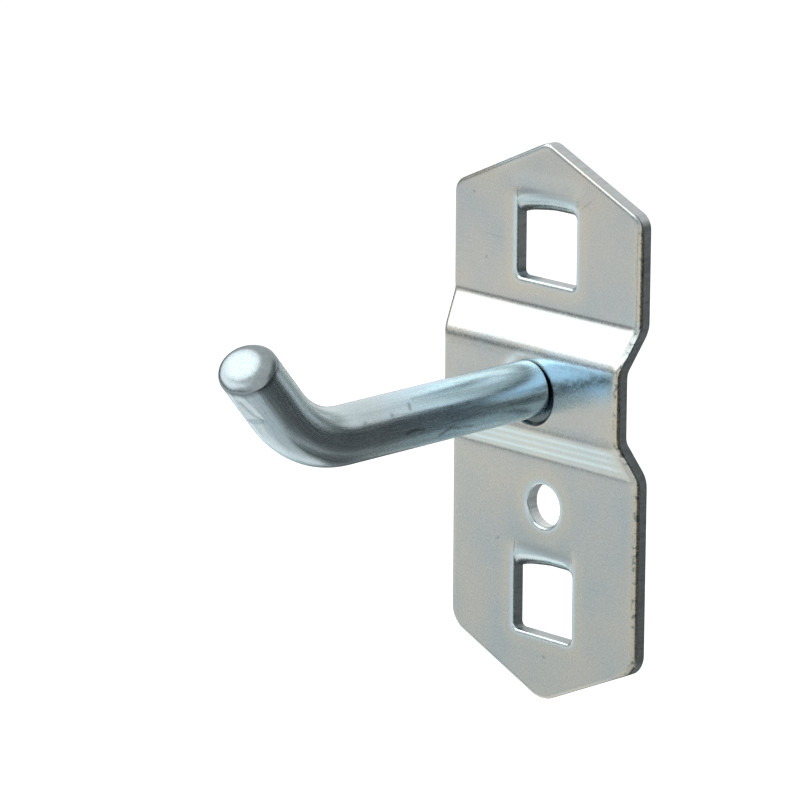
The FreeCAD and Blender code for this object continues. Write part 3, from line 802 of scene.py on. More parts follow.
@dataclass(frozen=True)
class PlateForms:
    """Forms that the press leaves on the plate's edges and bends, which the solids leave out."""

    roll_width: float = 0.3
    roll_depth: float = 0.16
    side_roll_width: float = 0.5
    side_roll_depth: float = 0.3
    side_start: float = 6.5
    side_fade: float = 1.2
    facet_width: float = 0.6
    facet_depth: float = 0.21
    facet_start: float = 5.0
    facet_rise: float = 4.2
    facet_fade: float = 1.1
    facet_hold: float = 1.6
    burr_width: float = 0.06
    burr_depth: float = 0.03
    seat_rim_width: float = 0.16
    seat_rim_depth: float = 0.03
    bend_sink: float = 0.08
    bend_spread: float = 0.7
    sink_inset: float = 0.3
    sink_aside: float = 0.6
    sink_below: float = 0.5
    right_web: float = 1.5
    right_web_reach: float = 1.2
    left_web: float = 0.25
    left_web_reach: float = 0.9
    left_bow: float = 0.4
    left_bow_power: float = 1.2
    web_end: float = math.radians(20.0)
    web_least_cosine: float = 0.05
    lug_spread: float = 0.009
    lug_spread_depth: float = 0.3
    lug_roll_start: float = 1.5
    lug_roll_fade: float = 0.8
    lug_end_fade: float = 0.3

    def side(self, s: PlateSizes, x: np.ndarray, z: np.ndarray) -> np.ndarray:
        """How far each place belongs to the plate's right edge, below its gable."""
        return ramp(x, self.side_start, self.side_fade) * ramp(z, s.top - s.gable, -self.side_fade)

    def facet(self, s: PlateSizes, x: np.ndarray, z: np.ndarray) -> np.ndarray:
        """How far each place belongs to the slanted facet at the right end of a sloping wall."""
        away = np.abs(np.abs(z - s.peg_height) - self.facet_rise)
        return np.clip(self.facet_hold - away / self.facet_fade, 0, 1) * (x > self.facet_start)


class Hump(NamedTuple):
    """A smooth hump along a measure: its middle, its width and its strength."""

    middle: float
    spread: float
    strength: float = 1.0

    def at(self, values: np.ndarray | float) -> np.ndarray:
        """Its height at those values."""
        return self.strength * bell(values, self.middle, self.spread)


class Slope(NamedTuple):
    """A slope along a measure, from 0 at its start to 1 after its length, which may be negative."""

    start: float
    length: float

    def at(self, values: np.ndarray | float) -> np.ndarray:
        """Its height at those values."""
        return ramp(values, self.start, self.length)


@dataclass(frozen=True)
class PlateWear:
    """Wear, painted highlights, reflection and shade on the plate, as values at its points that its finish reads."""

    sizes: PlateSizes
    forms: PlateForms
    # Rubbed edges, and painted highlights along the rolled edges, by the distance from them.
    rim_wear: Hump = Hump(0.0, 0.5)
    window_wear: Hump = Hump(0.75, 0.4, 0.4)
    edge_highlight: Hump = Hump(0.0, 0.3)
    rim_reach: float = 2.0
    back_share: float = 0.5
    # The left of the upper gable, rubbed and with a painted highlight, up and across the plate.
    gable_wear: float = 0.42
    gable_wear_rise: Slope = Slope(20.5, 1.5)
    gable_highlight_start: Slope = Slope(-5.5, 1.5)
    gable_highlight_rise: float = 0.5
    gable_end: float = 0.3
    # Painted highlights at the ends of the lugs' bends, from the windows' sides and the bend lines.
    lug_side_highlight: Hump = Hump(0.0, 0.35, 0.55)
    lug_end_highlight: Hump = Hump(-0.8, 0.4)
    # The painted highlight on the lugs' bends, by the length turned and the distance from their sides.
    bend_highlight_hump: Hump = Hump(0.8, 0.42)
    bend_highlight_side: Slope = Slope(-0.9, 1.5)
    # Painted highlight lines over the lower fold, which end short of the plate's sides.
    fold_highlight_lines: tuple[Hump, ...] = (Hump(0.95, 0.13, 0.55), Hump(1.55, 0.13, 0.4), Hump(2.1, 0.13, 0.5))
    fold_highlight_tilt: float = 0.012
    fold_highlight_side: Slope = Slope(-0.6, -1.5)
    # The facets' painted highlight over and under the peg.
    facet_highlight: tuple[float, float] = (0.8, 0.3)
    facet_highlight_hold: float = 1.3
    # The painted highlight ring over the peg's seat, by the distance from the seat's rim and the height over the peg.
    seat_highlight: Hump = Hump(0.2, 0.3, 0.9)
    seat_highlight_rise: Slope = Slope(0.0, 1.5)
    # The band's right half, from the middle and its side, with the peg's painted blue and dark reflections.
    band_start: Slope = Slope(0.8, 1.2)
    band_side: Slope = Slope(-0.7, -1.2)
    peg_reflection: Hump = Hump(1.6, 1.1)
    dark_reflection: Hump = Hump(0.65, 0.35, 0.9)
    dark_reflection_tilt: float = 0.25
    dark_reflection_aside: float = 2.5
    # A painted shadow in the seat: the dark crescent under the peg's root.
    crescent_strength: float = 4.0
    crescent_turn: float = 0.75
    crescent_width: float = 0.75
    crescent_rim: float = 0.02
    # Painted shade lines over the upper fold, the band's upper edge and the lower fold.
    upper_lines: tuple[Hump, ...] = (Hump(-0.28, 0.09, 0.4), Hump(0.12, 0.07, 0.35))
    band_line: Hump = Hump(-0.1, 0.25, 0.22)
    lower_lines: tuple[Hump, ...] = (Hump(0.2, 0.08, 0.30), Hump(0.75, 0.08, 0.18))
    line_side: Slope = Slope(-0.9, -0.4)
    faint: Slope = Slope(-8.0, 5.0)
    faintest: float = 0.2
    # The dark starts of the lugs' bends, from the bend lines and the windows' sides, which pale to the right.
    bend_dark: Hump = Hump(-0.18, 0.34, 0.42)
    bend_dark_side: Slope = Slope(0.1, -0.6)
    bend_dark_right: Slope = Slope(-1.0, 3.5)
    # The dark left ends of the windows' sills.
    sill_dark: Hump = Hump(0.0, 0.5)
    sill_left: Slope = Slope(-0.6, -1.2)
    sill_over: float = 0.05

    BEND_PALER = {Lug.LOWER: 0.2, Lug.UPPER: 0.6}
    SILL_SHADE = {Lug.LOWER: 0.5, Lug.UPPER: 0.9}

    def front_looks(self, at: SheetPlaces) -> dict[Look, np.ndarray]:
        """All that the finish reads on the sheet's front."""
        return {
            Look.WEAR: self.rubbed(at),
            # Painted shade in the seat, beside the peg and along the folds.
            Look.MARK: self.darkened(at),
            # Painted highlights.
            Look.HIGHLIGHT: self.highlighted(at),
            # The peg's painted blue reflection.
            Look.REFLECTION: self.on_band(at) * self.peg_reflection.at(at.z - self.sizes.peg_height),
            Look.SHADE: self.bend_shade(at.x, at.z),
        }

    def on_band(self, at: SheetPlaces) -> np.ndarray:
        """How far each place lies between the peg and the plate's right edge."""
        return self.band_start.at(at.x) * self.band_side.at(at.x - self.sizes.width / 2)

    def rubbed(self, at: SheetPlaces) -> np.ndarray:
        """How rubbed the front is: along the right edge, the left of the upper gable and round the windows."""
        gable = self.gable_wear * self.gable_wear_rise.at(at.z) * (at.x < self.gable_end)
        rim = self.rim_wear.at(at.rim_gap) * np.maximum(self.forms.side(self.sizes, at.x, at.z), gable)
        return np.maximum(rim, self.window_wear.at(at.edge_gap) * (at.rim_gap > self.rim_reach))

    def highlighted(self, at: SheetPlaces) -> np.ndarray:
        """Painted highlight on the front: on edges, lug ends, the lower fold, the facets and over the peg's seat."""
        s, f = self.sizes, self.forms
        aside, up = np.abs(at.x), at.z - s.peg_height
        gable = self.gable_highlight_start.at(at.x) * (at.x < self.gable_end)
        gable = gable * ramp(at.z, s.top - s.gable, self.gable_highlight_rise)
        lug_side_highlight = self.lug_side_highlight.at(aside - s.window_width / 2)
        fold_highlight_side = self.fold_highlight_side.at(aside - s.width / 2)
        facet = np.where(up > 0, *self.facet_highlight) * f.facet(s, at.x, at.z)
        ring = np.hypot(at.x, up) - s.seat_radius
        parts = [
            self.edge_highlight.at(at.edge_gap) * (at.rim_gap > self.rim_reach),
            gable * self.edge_highlight.at(at.rim_gap),
            *(lug_side_highlight * self.lug_end_highlight.at(at.z - s.bend_line(lug)) for lug in Lug),
            *(line.at(up + s.rise - self.fold_highlight_tilt * at.x) * fold_highlight_side for line in self.fold_highlight_lines),
            facet * np.clip(self.facet_highlight_hold - at.edge_gap / f.facet_width, 0, 1),
            self.seat_highlight.at(ring) * self.seat_highlight_rise.at(up),
        ]
        return np.maximum.reduce(parts)

    def darkened(self, at: SheetPlaces) -> np.ndarray:
        """Painted shade: a shadow in the seat's crescent, a dark reflection beside the peg and lines along the folds.
        """
        s = self.sizes
        in_seat = np.hypot(at.x, at.z - s.seat_height) < s.seat_radius + self.crescent_rim
        turned = np.cos(np.arctan2(at.z - s.seat_height, at.x) + self.crescent_turn)
        crescent = self.crescent_strength * in_seat * np.clip(self.crescent_width + turned, 0, 1)
        up = at.z - s.peg_height
        dark_reflection = self.on_band(at) * self.dark_reflection.at(up - self.dark_reflection_tilt * (at.x - self.dark_reflection_aside))
        faint = np.maximum(self.faint.at(at.x), self.faintest)
        lines = faint * sum(line.at(up - s.rise) for line in self.upper_lines)
        lines += self.band_line.at(up - s.band_flat / 2)
        lines += sum(line.at(up + s.rise) for line in self.lower_lines)
        return crescent + dark_reflection + self.line_side.at(np.abs(at.x) - s.width / 2) * lines

    def bend_highlight(self, passed: float, from_side: np.ndarray) -> np.ndarray:
        """Painted highlight on a lug's bend, by the length that it has turned and the distance from its sides."""
        return self.bend_highlight_hump.at(passed) * self.bend_highlight_side.at(from_side)

    def bend_shade(self, x: np.ndarray, z: np.ndarray | float) -> np.ndarray:
        """How dark the front is where it starts to turn into the lugs' bends."""
        s = self.sizes
        to_right = self.bend_dark_right.at(x)
        dark = [self.bend_dark.at(z - s.bend_line(lug)) * (1 - self.BEND_PALER[lug] * to_right) for lug in Lug]
        return self.bend_dark_side.at(np.abs(x) - s.window_width / 2) * np.maximum(*dark)

    def sill_shade(self, x: float, z: float) -> float:
        """How dark a window's sheared edge is at the left end of its sill."""
        s = self.sizes
        left = self.sill_left.at(x) * (abs(x) < s.window_width / 2 + self.sill_over)
        sills = {lug: s.bend_line(lug) - s.window_height for lug in Lug}
        return left * max(self.SILL_SHADE[lug] * self.sill_dark.at(z - sills[lug]) for lug in Lug)


class Row(NamedTuple):
    """A row of points across a lug: on its front, on its back and through its two sides."""

    front: list[int]
    back: list[int]
    ends: list[Column]


class BackPlate:
    """The stamped plate: flanges, raised band, windows with their lugs, screw hole and the peg's seat."""

    LOOKS = (Look.WEAR, Look.MARK, Look.HIGHLIGHT, Look.REFLECTION, Look.SHADE)
    THROUGH = (0.06, 0.90)
    SHARP_ANGLE = 42

    def __init__(self, sizes: PlateSizes, forms: PlateForms, wear: PlateWear) -> None:
        """Keeps the sizes, lays out the flat sheet and starts with no points."""
        self.sizes = sizes
        self.forms = forms
        self.wear = wear
        self.flat = FlatSheet(sizes)
        self.points: list[Triple] = []
        self.looks: dict[Look, list[float]] = {look: [] for look in self.LOOKS}
        self.faces: list[list[int]] = []
        self.cut_faces: dict[int, PlateSlot] = {}

    def front(self, z: np.ndarray) -> np.ndarray:
        """Where the sheet's front surface stands, by height."""
        s = self.sizes
        return self._surface(z, s.fold_radius + s.sheet, s.fold_radius, -s.band_offset - s.sheet, -s.sheet)

    def back(self, z: np.ndarray) -> np.ndarray:
        """Where the sheet's back surface stands, by height."""
        s = self.sizes
        return self._surface(z, s.fold_radius, s.fold_radius + s.sheet, -s.band_offset, 0.0)

    def _surface(self, z: np.ndarray, band_r: float, flange_r: float, band_y: float, flange_y: float) -> np.ndarray:
        """One surface of the folded sheet.

        Args:
            z: heights.
            band_r: radius of its bends at the band.
            flange_r: radius of its bends at the flanges.
            band_y: where it stands at the band.
            flange_y: where it stands at the flanges.

        Returns:
            Where it stands at those heights.
        """
        s = self.sizes
        flat = s.band_flat / 2
        away = np.abs(z - s.peg_height)
        band_end = flat + band_r * math.sin(s.slope)
        wall_end = s.rise - flange_r * math.sin(s.slope)
        band_drop = np.sqrt(np.maximum(band_r**2 - np.clip(away - flat, 0, band_r) ** 2, 0))
        flange_drop = np.sqrt(np.maximum(flange_r**2 - np.clip(s.rise - away, 0, flange_r) ** 2, 0))
        wall_start = band_y + band_r * (1 - math.cos(s.slope))
        wall = wall_start + (away - band_end) * math.tan(s.slope)
        result = np.where(away <= band_end, band_y + band_r - band_drop, wall)
        return np.where(away >= wall_end, flange_y - flange_r + flange_drop, result)

    def dimples(self, x: np.ndarray, z: np.ndarray) -> np.ndarray:
        """How far the front is drawn in at the ends of the lugs' bends."""
        s, f = self.sizes, self.forms
        drawn = np.zeros_like(x)
        for lug in Lug:
            above = np.clip(z - s.bend_line(lug), 0, None)
            below = np.clip(s.bend_line(lug) - z, 0, None)
            aside = np.clip(np.abs(x) - s.window_width / 2 + f.sink_inset, 0, None)
            fade = bell(aside, 0, f.sink_aside) * bell(below, 0, f.sink_below)
            drawn += f.bend_sink * bell(above, 0, f.bend_spread) * fade
        return drawn

    def seat(self, x: np.ndarray, z: np.ndarray) -> np.ndarray:
        """How deep the front lies in the recess round the peg's root."""
        s, f = self.sizes, self.forms
        gap = np.hypot(x, z - s.seat_height) - s.seat_radius
        sloping = np.clip(-gap * s.seat_slope, 0, s.seat_depth)
        rim = quarter_round(np.clip(gap, 0, None), f.seat_rim_width, f.seat_rim_depth)
        return np.where(gap < 0, f.seat_rim_depth + sloping, rim)

    def rolled(self, at: SheetPlaces) -> np.ndarray:
        """How far the front has dropped at its rolled edges and on the facets."""
        s, f = self.sizes, self.forms
        side = f.side(s, at.x, at.z)
        width = f.roll_width + (f.side_roll_width - f.roll_width) * side
        depth = f.roll_depth + (f.side_roll_depth - f.roll_depth) * side
        facet = np.clip(1 - at.edge_gap / f.facet_width, 0, 1) * f.facet_depth
        return np.maximum(quarter_round(at.edge_gap, width, depth), facet * f.facet(s, at.x, at.z))

    def add_points(self, places: np.ndarray, looks: dict[Look, np.ndarray] | None = None) -> list[int]:
        """Adds points.

        Args:
            places: the points.
            looks: what the finish reads at them, which is 0 where nothing is given.

        Returns:
            The points' numbers.
        """
        start = len(self.points)
        self.points.extend(map(tuple, places))
        for look, store in self.looks.items():
            store.extend((looks or {}).get(look, np.zeros(len(places))))
        return list(range(start, len(self.points)))

    def add_cut(self, face: list[int], slot: PlateSlot = PlateSlot.CUT) -> None:
        """Adds a face of a sheared edge, in the slot of its finish."""
        self.cut_faces[len(self.faces)] = slot
        self.faces.append(face)

    def column(self, front: int, back: int) -> Column:
        """Points through the sheet's thickness, from a front point to a back point."""
        start, end = np.array(self.points[front]), np.array(self.points[back])
        between = np.array([start + (end - start) * share for share in self.THROUGH])
        shade = np.full(len(between), self.wear.sill_shade(start[0], start[2]))
        return [front, *self.add_points(between, {Look.SHADE: shade}), back]

    def join(self, first: Column, second: Column, slot: PlateSlot = PlateSlot.CUT) -> None:
        """Adds the sheared edge between two columns of points."""
        for upper, lower in zip(range(3), range(1, 4)):
            self.add_cut([first[upper], second[upper], second[lower], first[lower]], slot)

    def shear(self, edge: SheetEdge, front: list[int], back: list[int]) -> Row:
        """Builds one sheared edge, apart from a lug's bend line.

        Args:
            edge: the edge.
            front: its points on the sheet's front.
            back: its points on the sheet's back.

        Returns:
            The row of points along the bend line, which is empty where no lug goes on from it.
        """
        last = len(front) - 1
        bend = len(front) - edge.shared
        stacks = {i: self.column(front[i], back[i]) for i in range(len(front)) if not bend < i < last}
        for i in range(len(front)):
            if not bend <= i < last:
                self.join(stacks[i], stacks[(i + 1) % len(front)], edge.slot)
        return Row(front[bend:], back[bend:], [stacks[i] for i in (bend, last) if edge.shared])

    def build_sheet(self) -> dict[Lug, Row]:
        """Builds the sheet's two surfaces and its sheared edges.

        Returns:
            For each lug, the row of points along its bend line.
        """
        f = self.forms
        at = self.flat.places()
        front_y = self.front(at.z) + self.rolled(at) + self.dimples(at.x, at.z) + self.seat(at.x, at.z)
        back_y = self.back(at.z) - quarter_round(at.edge_gap, f.burr_width, f.burr_depth)
        looks = self.wear.front_looks(at)
        behind = {Look.WEAR: looks[Look.WEAR] * self.wear.back_share}
        front = self.add_points(np.column_stack((at.x, front_y, at.z)), looks)
        back = self.add_points(np.column_stack((at.x, back_y, at.z)), behind)
        for a, b, c in self.flat.triangles:
            self.faces.append([front[a], front[b], front[c]])
            self.faces.append([back[c], back[b], back[a]])
        rows: dict[Lug, Row] = {}
        start = 0
        for edge in self.flat.edges:
            end = start + len(edge.points)
            row = self.shear(edge, front[start:end], back[start:end])
            if edge.lug is not None:
                rows[edge.lug] = row
            start = end
        return rows

    def lug_path(self, lug: Lug, radius: float) -> np.ndarray:
        """One face of a lug, from its bend line to its end, as points in the plane of the bend.

        Args:
            lug: the lug.
            radius: the radius of that face's first bend.

        Returns:
            The points' places behind the plate and their heights.
        """
        s = self.sizes
        bend = s.bend_line(lug)
        under = bend - radius
        path = arc((s.lug_radius, bend), radius, 180, 270)
        if lug is Lug.LOWER:
            path.extend((y, under) for y in np.linspace(s.lug_radius, s.lug_reach, 22)[1:])
            return np.array(path)
        turn = s.board_gap - s.lug_radius
        end = bend - s.lug_radius + s.lug_rise
        path.extend((y, under) for y in np.linspace(s.lug_radius, turn, 4)[1:])
        path.extend(arc((turn, bend), radius, 270, 360))
        path.extend((turn + radius, height) for height in np.linspace(bend, end, 12)[1:])
        return np.array(path)

    def web(self, across: np.ndarray, place: np.ndarray, lug: Lug) -> np.ndarray:
        """How thick the drawn corner is between a lug's bend and its window's sides.

        Args:
            across: places across the lug.
            place: the bend's place behind the plate and its height.
            lug: the lug.

        Returns:
            The corner's thickness at each place.
        """
        s, f = self.sizes, self.forms
        if place[0] >= s.lug_radius:
            return np.zeros_like(across)
        turn = math.atan2(s.bend_line(lug) - place[1], s.lug_radius - place[0])
        right = across > 0
        half = s.window_width / 2
        share = math.sin(turn) ** np.where(right, 2, 1) * min(1.0, (math.pi / 2 - turn) / f.web_end)
        reach = np.where(right, f.right_web_reach, f.left_web_reach)
        height = quarter_round(half - np.abs(across), reach, np.where(right, f.right_web, f.left_web))
        height = height + f.left_bow * np.clip(-across / half, 0, 1) ** f.left_bow_power
        proud = place[0] + s.sheet - np.where(right, f.roll_depth, 0.0)
        flush = np.clip(proud, 0, None) / max(math.cos(turn), f.web_least_cosine)
        return np.minimum(share * height, flush)

    def lug_rows(self, lug: Lug, root: Row) -> list[Row]:
        """Adds a lug's points.

        Args:
            lug: the lug.
            root: the row of points along its bend line.

        Returns:
            The rows of points from the bend line to the lug's end.
        """
        s, f = self.sizes, self.forms
        outer = self.lug_path(lug, s.lug_radius + s.sheet)
        inner = self.lug_path(lug, s.lug_radius)
        steps = np.linalg.norm(np.diff(outer, axis=0, prepend=outer[:1]), axis=1)
        passed = np.cumsum(steps) + steps[1]
        remaining = np.cumsum(steps[::-1])[::-1] - steps
        across = self.flat.lug_places()
        half = across[0]
        from_side = half - np.abs(across)
        rolled = quarter_round(from_side, f.roll_width, f.roll_depth)
        rows = [root]
        for outside, within, gone, rest in zip(outer, inner, passed, remaining):
            gap = min(rest, s.lug_corner)
            width = half - s.lug_corner + math.sqrt(s.lug_corner**2 - (s.lug_corner - gap) ** 2)
            x = across * width / half * (1 + f.lug_spread * ramp(outside[0], 0.0, -f.lug_spread_depth))
            sunk = rolled * ramp(rest, 0.0, f.lug_end_fade) * ramp(gone, f.lug_roll_start, f.lug_roll_fade)
            sunk = sunk + f.bend_sink * bell(gone, 0, f.bend_spread) - self.web(across, outside, lug)
            inwards = (within - outside) / np.linalg.norm(within - outside)
            looks = {
                # A painted highlight along the bend's roll.
                Look.HIGHLIGHT: self.wear.bend_highlight(gone, from_side),
                Look.SHADE: self.wear.bend_shade(x, outside[1]) * (outside[0] < 0),
            }
            top = self.add_points(np.column_stack((x, outside + sunk[:, None] * inwards)), looks)
            under = self.add_points(np.column_stack((x, np.tile(within, (len(x), 1)))))
            rows.append(Row(top, under, [self.column(top[i], under[i]) for i in (0, -1)]))
        return rows

    def build_lug(self, lug: Lug, root: Row) -> None:
        """Builds a lug on from the row of points along its bend line."""
        rows = self.lug_rows(lug, root)
        count = len(root.front)
        for a, b in zip(rows, rows[1:]):
            for i in range(count - 1):
                self.faces.append([a.front[i], a.front[i + 1], b.front[i + 1], b.front[i]])
                self.faces.append([a.back[i], b.back[i], b.back[i + 1], a.back[i + 1]])
            for a_end, b_end in zip(a.ends, b.ends):
                self.join(a_end, b_end)
        top, under, (first, last) = rows[-1]
        self.add_cut([*first, under[1], top[1]])
        self.add_cut([*last, under[-2], top[-2]])
        for i in range(1, count - 2):
            self.add_cut([top[i], under[i], under[i + 1], top[i + 1]])

    def make(self, finishes: dict[PlateSlot, bpy.types.Material]) -> bpy.types.Object:
        """Builds the plate and dresses it.

        Args:
            finishes: the materials of its faces, its sheared edges and the screw hole's wall.

        Returns:
            The finished piece.
        """
        for lug, root in self.build_sheet().items():
            self.build_lug(lug, root)
        piece = mesh_object("back_plate_zinc", np.array(self.points), self.faces)
        for slot in PlateSlot:
            piece.data.materials.append(finishes[slot])
        slots = [self.cut_faces.get(number, PlateSlot.FACE).value for number in range(len(self.faces))]
        piece.data.polygons.foreach_set("material_index", slots)
        for look, values in self.looks.items():
            carry(piece, look, values)
        smooth(piece, self.SHARP_ANGLE)
        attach(piece, "root")
        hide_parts("back_plate")
        return piece


class WireTree(NodeTree):
    """The node tree that sweeps the wire along its path: a straight run, a bend and a slanting arm."""

    INPUTS = ("Run", "Bend Radius", "Bend Angle", "Arm", "Wire Radius")

    def __init__(self, sizes: PegSizes, material: bpy.types.Material) -> None:
        """Builds the tree.

        Args:
            sizes: the peg's sizes.
            material: the finish that the tree sets.
        """
        super().__init__(bpy.data.node_groups.new("wire_along_path", "GeometryNodeTree"))
        self.sizes = sizes
        self.identifiers: dict[str, str] = {}
        for name in self.INPUTS:
            socket = self.tree.interface.new_socket(name, in_out="INPUT", socket_type="NodeSocketFloat")
            self.identifiers[name] = socket.identifier
        self.tree.interface.new_socket("Geometry", in_out="OUTPUT", socket_type="NodeSocketGeometry")
        self.given = self.add("NodeGroupInput").outputs
        self._sweep(material)

    def _sweep(self, material: bpy.types.Material) -> None:
        """Lays out the path and sweeps the wire along it."""
        run, radius, angle, arm, wire = (self.given[name] for name in self.INPUTS)
        bend = self.math("MULTIPLY", radius, angle)
        total = self.math("ADD", self.math("ADD", run, bend), arm)
        end = self.add("ShaderNodeCombineXYZ", {"Y": self.math("MULTIPLY", total, -1.0)}).outputs[0]
        line = self.add("GeometryNodeCurvePrimitiveLine", {"End": end}).outputs["Curve"]
        path = self.add("GeometryNodeResampleCurve", {"Curve": line, "Count": self.sizes.rings}).outputs["Curve"]
        along = self.add("GeometryNodeSplineParameter").outputs["Length"]
        straight = self.math("MINIMUM", along, run)
        curved = self.math("MINIMUM", self.math("MAXIMUM", self.math("SUBTRACT", along, run), 0.0), bend)
        slanting = self.math("MAXIMUM", self.math("SUBTRACT", along, self.math("ADD", run, bend)), 0.0)
        turn = self.math("DIVIDE", curved, radius)
        sine, cosine = self.math("SINE", turn), self.math("COSINE", turn)
        reach = self.math("ADD", straight, self.math("MULTIPLY", radius, sine))
        reach = self.math("ADD", reach, self.math("MULTIPLY", slanting, cosine))
        lift = self.math("MULTIPLY", radius, self.math("SUBTRACT", 1.0, cosine))
        lift = self.math("ADD", lift, self.math("MULTIPLY", slanting, sine))
        place = self.add("ShaderNodeCombineXYZ", {"Y": self.math("MULTIPLY", reach, -1.0), "Z": lift}).outputs[0]
        bent = self.add("GeometryNodeSetPosition", {"Geometry": path, "Position": place}).outputs["Geometry"]
        round_wire = {"Resolution": self.sizes.around, "Radius": wire}
        circle = self.add("GeometryNodeCurvePrimitiveCircle", round_wire, mode="RADIUS")
        tube = self.add("GeometryNodeCurveToMesh", {"Curve": bent, "Profile Curve": circle.outputs["Curve"]})
        real = self.add("GeometryNodeRealizeInstances", {"Geometry": tube.outputs["Mesh"]})
        dressed = self.add("GeometryNodeSetMaterial", {"Geometry": real.outputs["Geometry"], "Material": material})
        self.add("NodeGroupOutput", {"Geometry": dressed.outputs["Geometry"]})

    def rings(self) -> np.ndarray:
        """Runs the tree and returns the swept wire's points in millimetres, ring by ring."""
        s = self.sizes
        holder = bpy.data.objects.new("wire_sweep", bpy.data.meshes.new("wire_sweep"))
        bpy.context.scene.collection.objects.link(holder)
        modifier = holder.modifiers.new("sweep", "NODES")
        modifier.node_group = self.tree
        values = (s.run * MM, s.bend_radius * MM, s.bend_angle, s.arm * MM, s.radius * MM)
        for name, value in zip(self.INPUTS, values):
            modifier[self.identifiers[name]] = value
        holder.update_tag()
        graph = bpy.context.evaluated_depsgraph_get()
        mesh = bpy.data.meshes.new_from_object(holder.evaluated_get(graph))
        points = np.zeros(len(mesh.vertices) * 3)
        mesh.vertices.foreach_get("co", points)
        bpy.data.objects.remove(holder)
        bpy.data.meshes.remove(mesh)
        return points.reshape(s.rings, s.around, 3) / MM


@dataclass(frozen=True)
class Scuff:
    """A dark scuffed mark on the peg's straight run, from end to end.

    Each end gives a distance from the peg's shoulder in millimetres and an angle round the wire in degrees.
    """

    start: tuple[float, float]
    end: tuple[float, float]
    half_width: float
    strength: float


@dataclass(frozen=True)
class ToolFlat:
    """A flat that a bending tool has pressed into the wire, deepest at one end."""

    middle: np.ndarray
    normal: np.ndarray
    along: np.ndarray
    depth: float
    half_length: float
    shallow: float = 0.15
    start_fade: float = 0.12
    end_fade: float = 0.5

    def press(self, points: np.ndarray, wire_radius: float) -> np.ndarray:
        """The wire's points, with those under the tool moved inwards."""
        out = self.normal / np.linalg.norm(self.normal)
        rel = points - self.middle
        height = rel @ out
        place = rel @ (self.along / np.linalg.norm(self.along))
        share = np.clip(0.5 - place / (2 * self.half_length), 0, 1)
        sunk = self.depth * (self.shallow + (1 - self.shallow) * share)
        sunk = sunk * ramp(place, -self.half_length, self.start_fade) * ramp(place, self.half_length, -self.end_fade)
        near = (height > -wire_radius) & (np.abs(place) < self.half_length)
        return points - np.where(near, np.clip(height + sunk, 0, sunk), 0)[..., None] * out


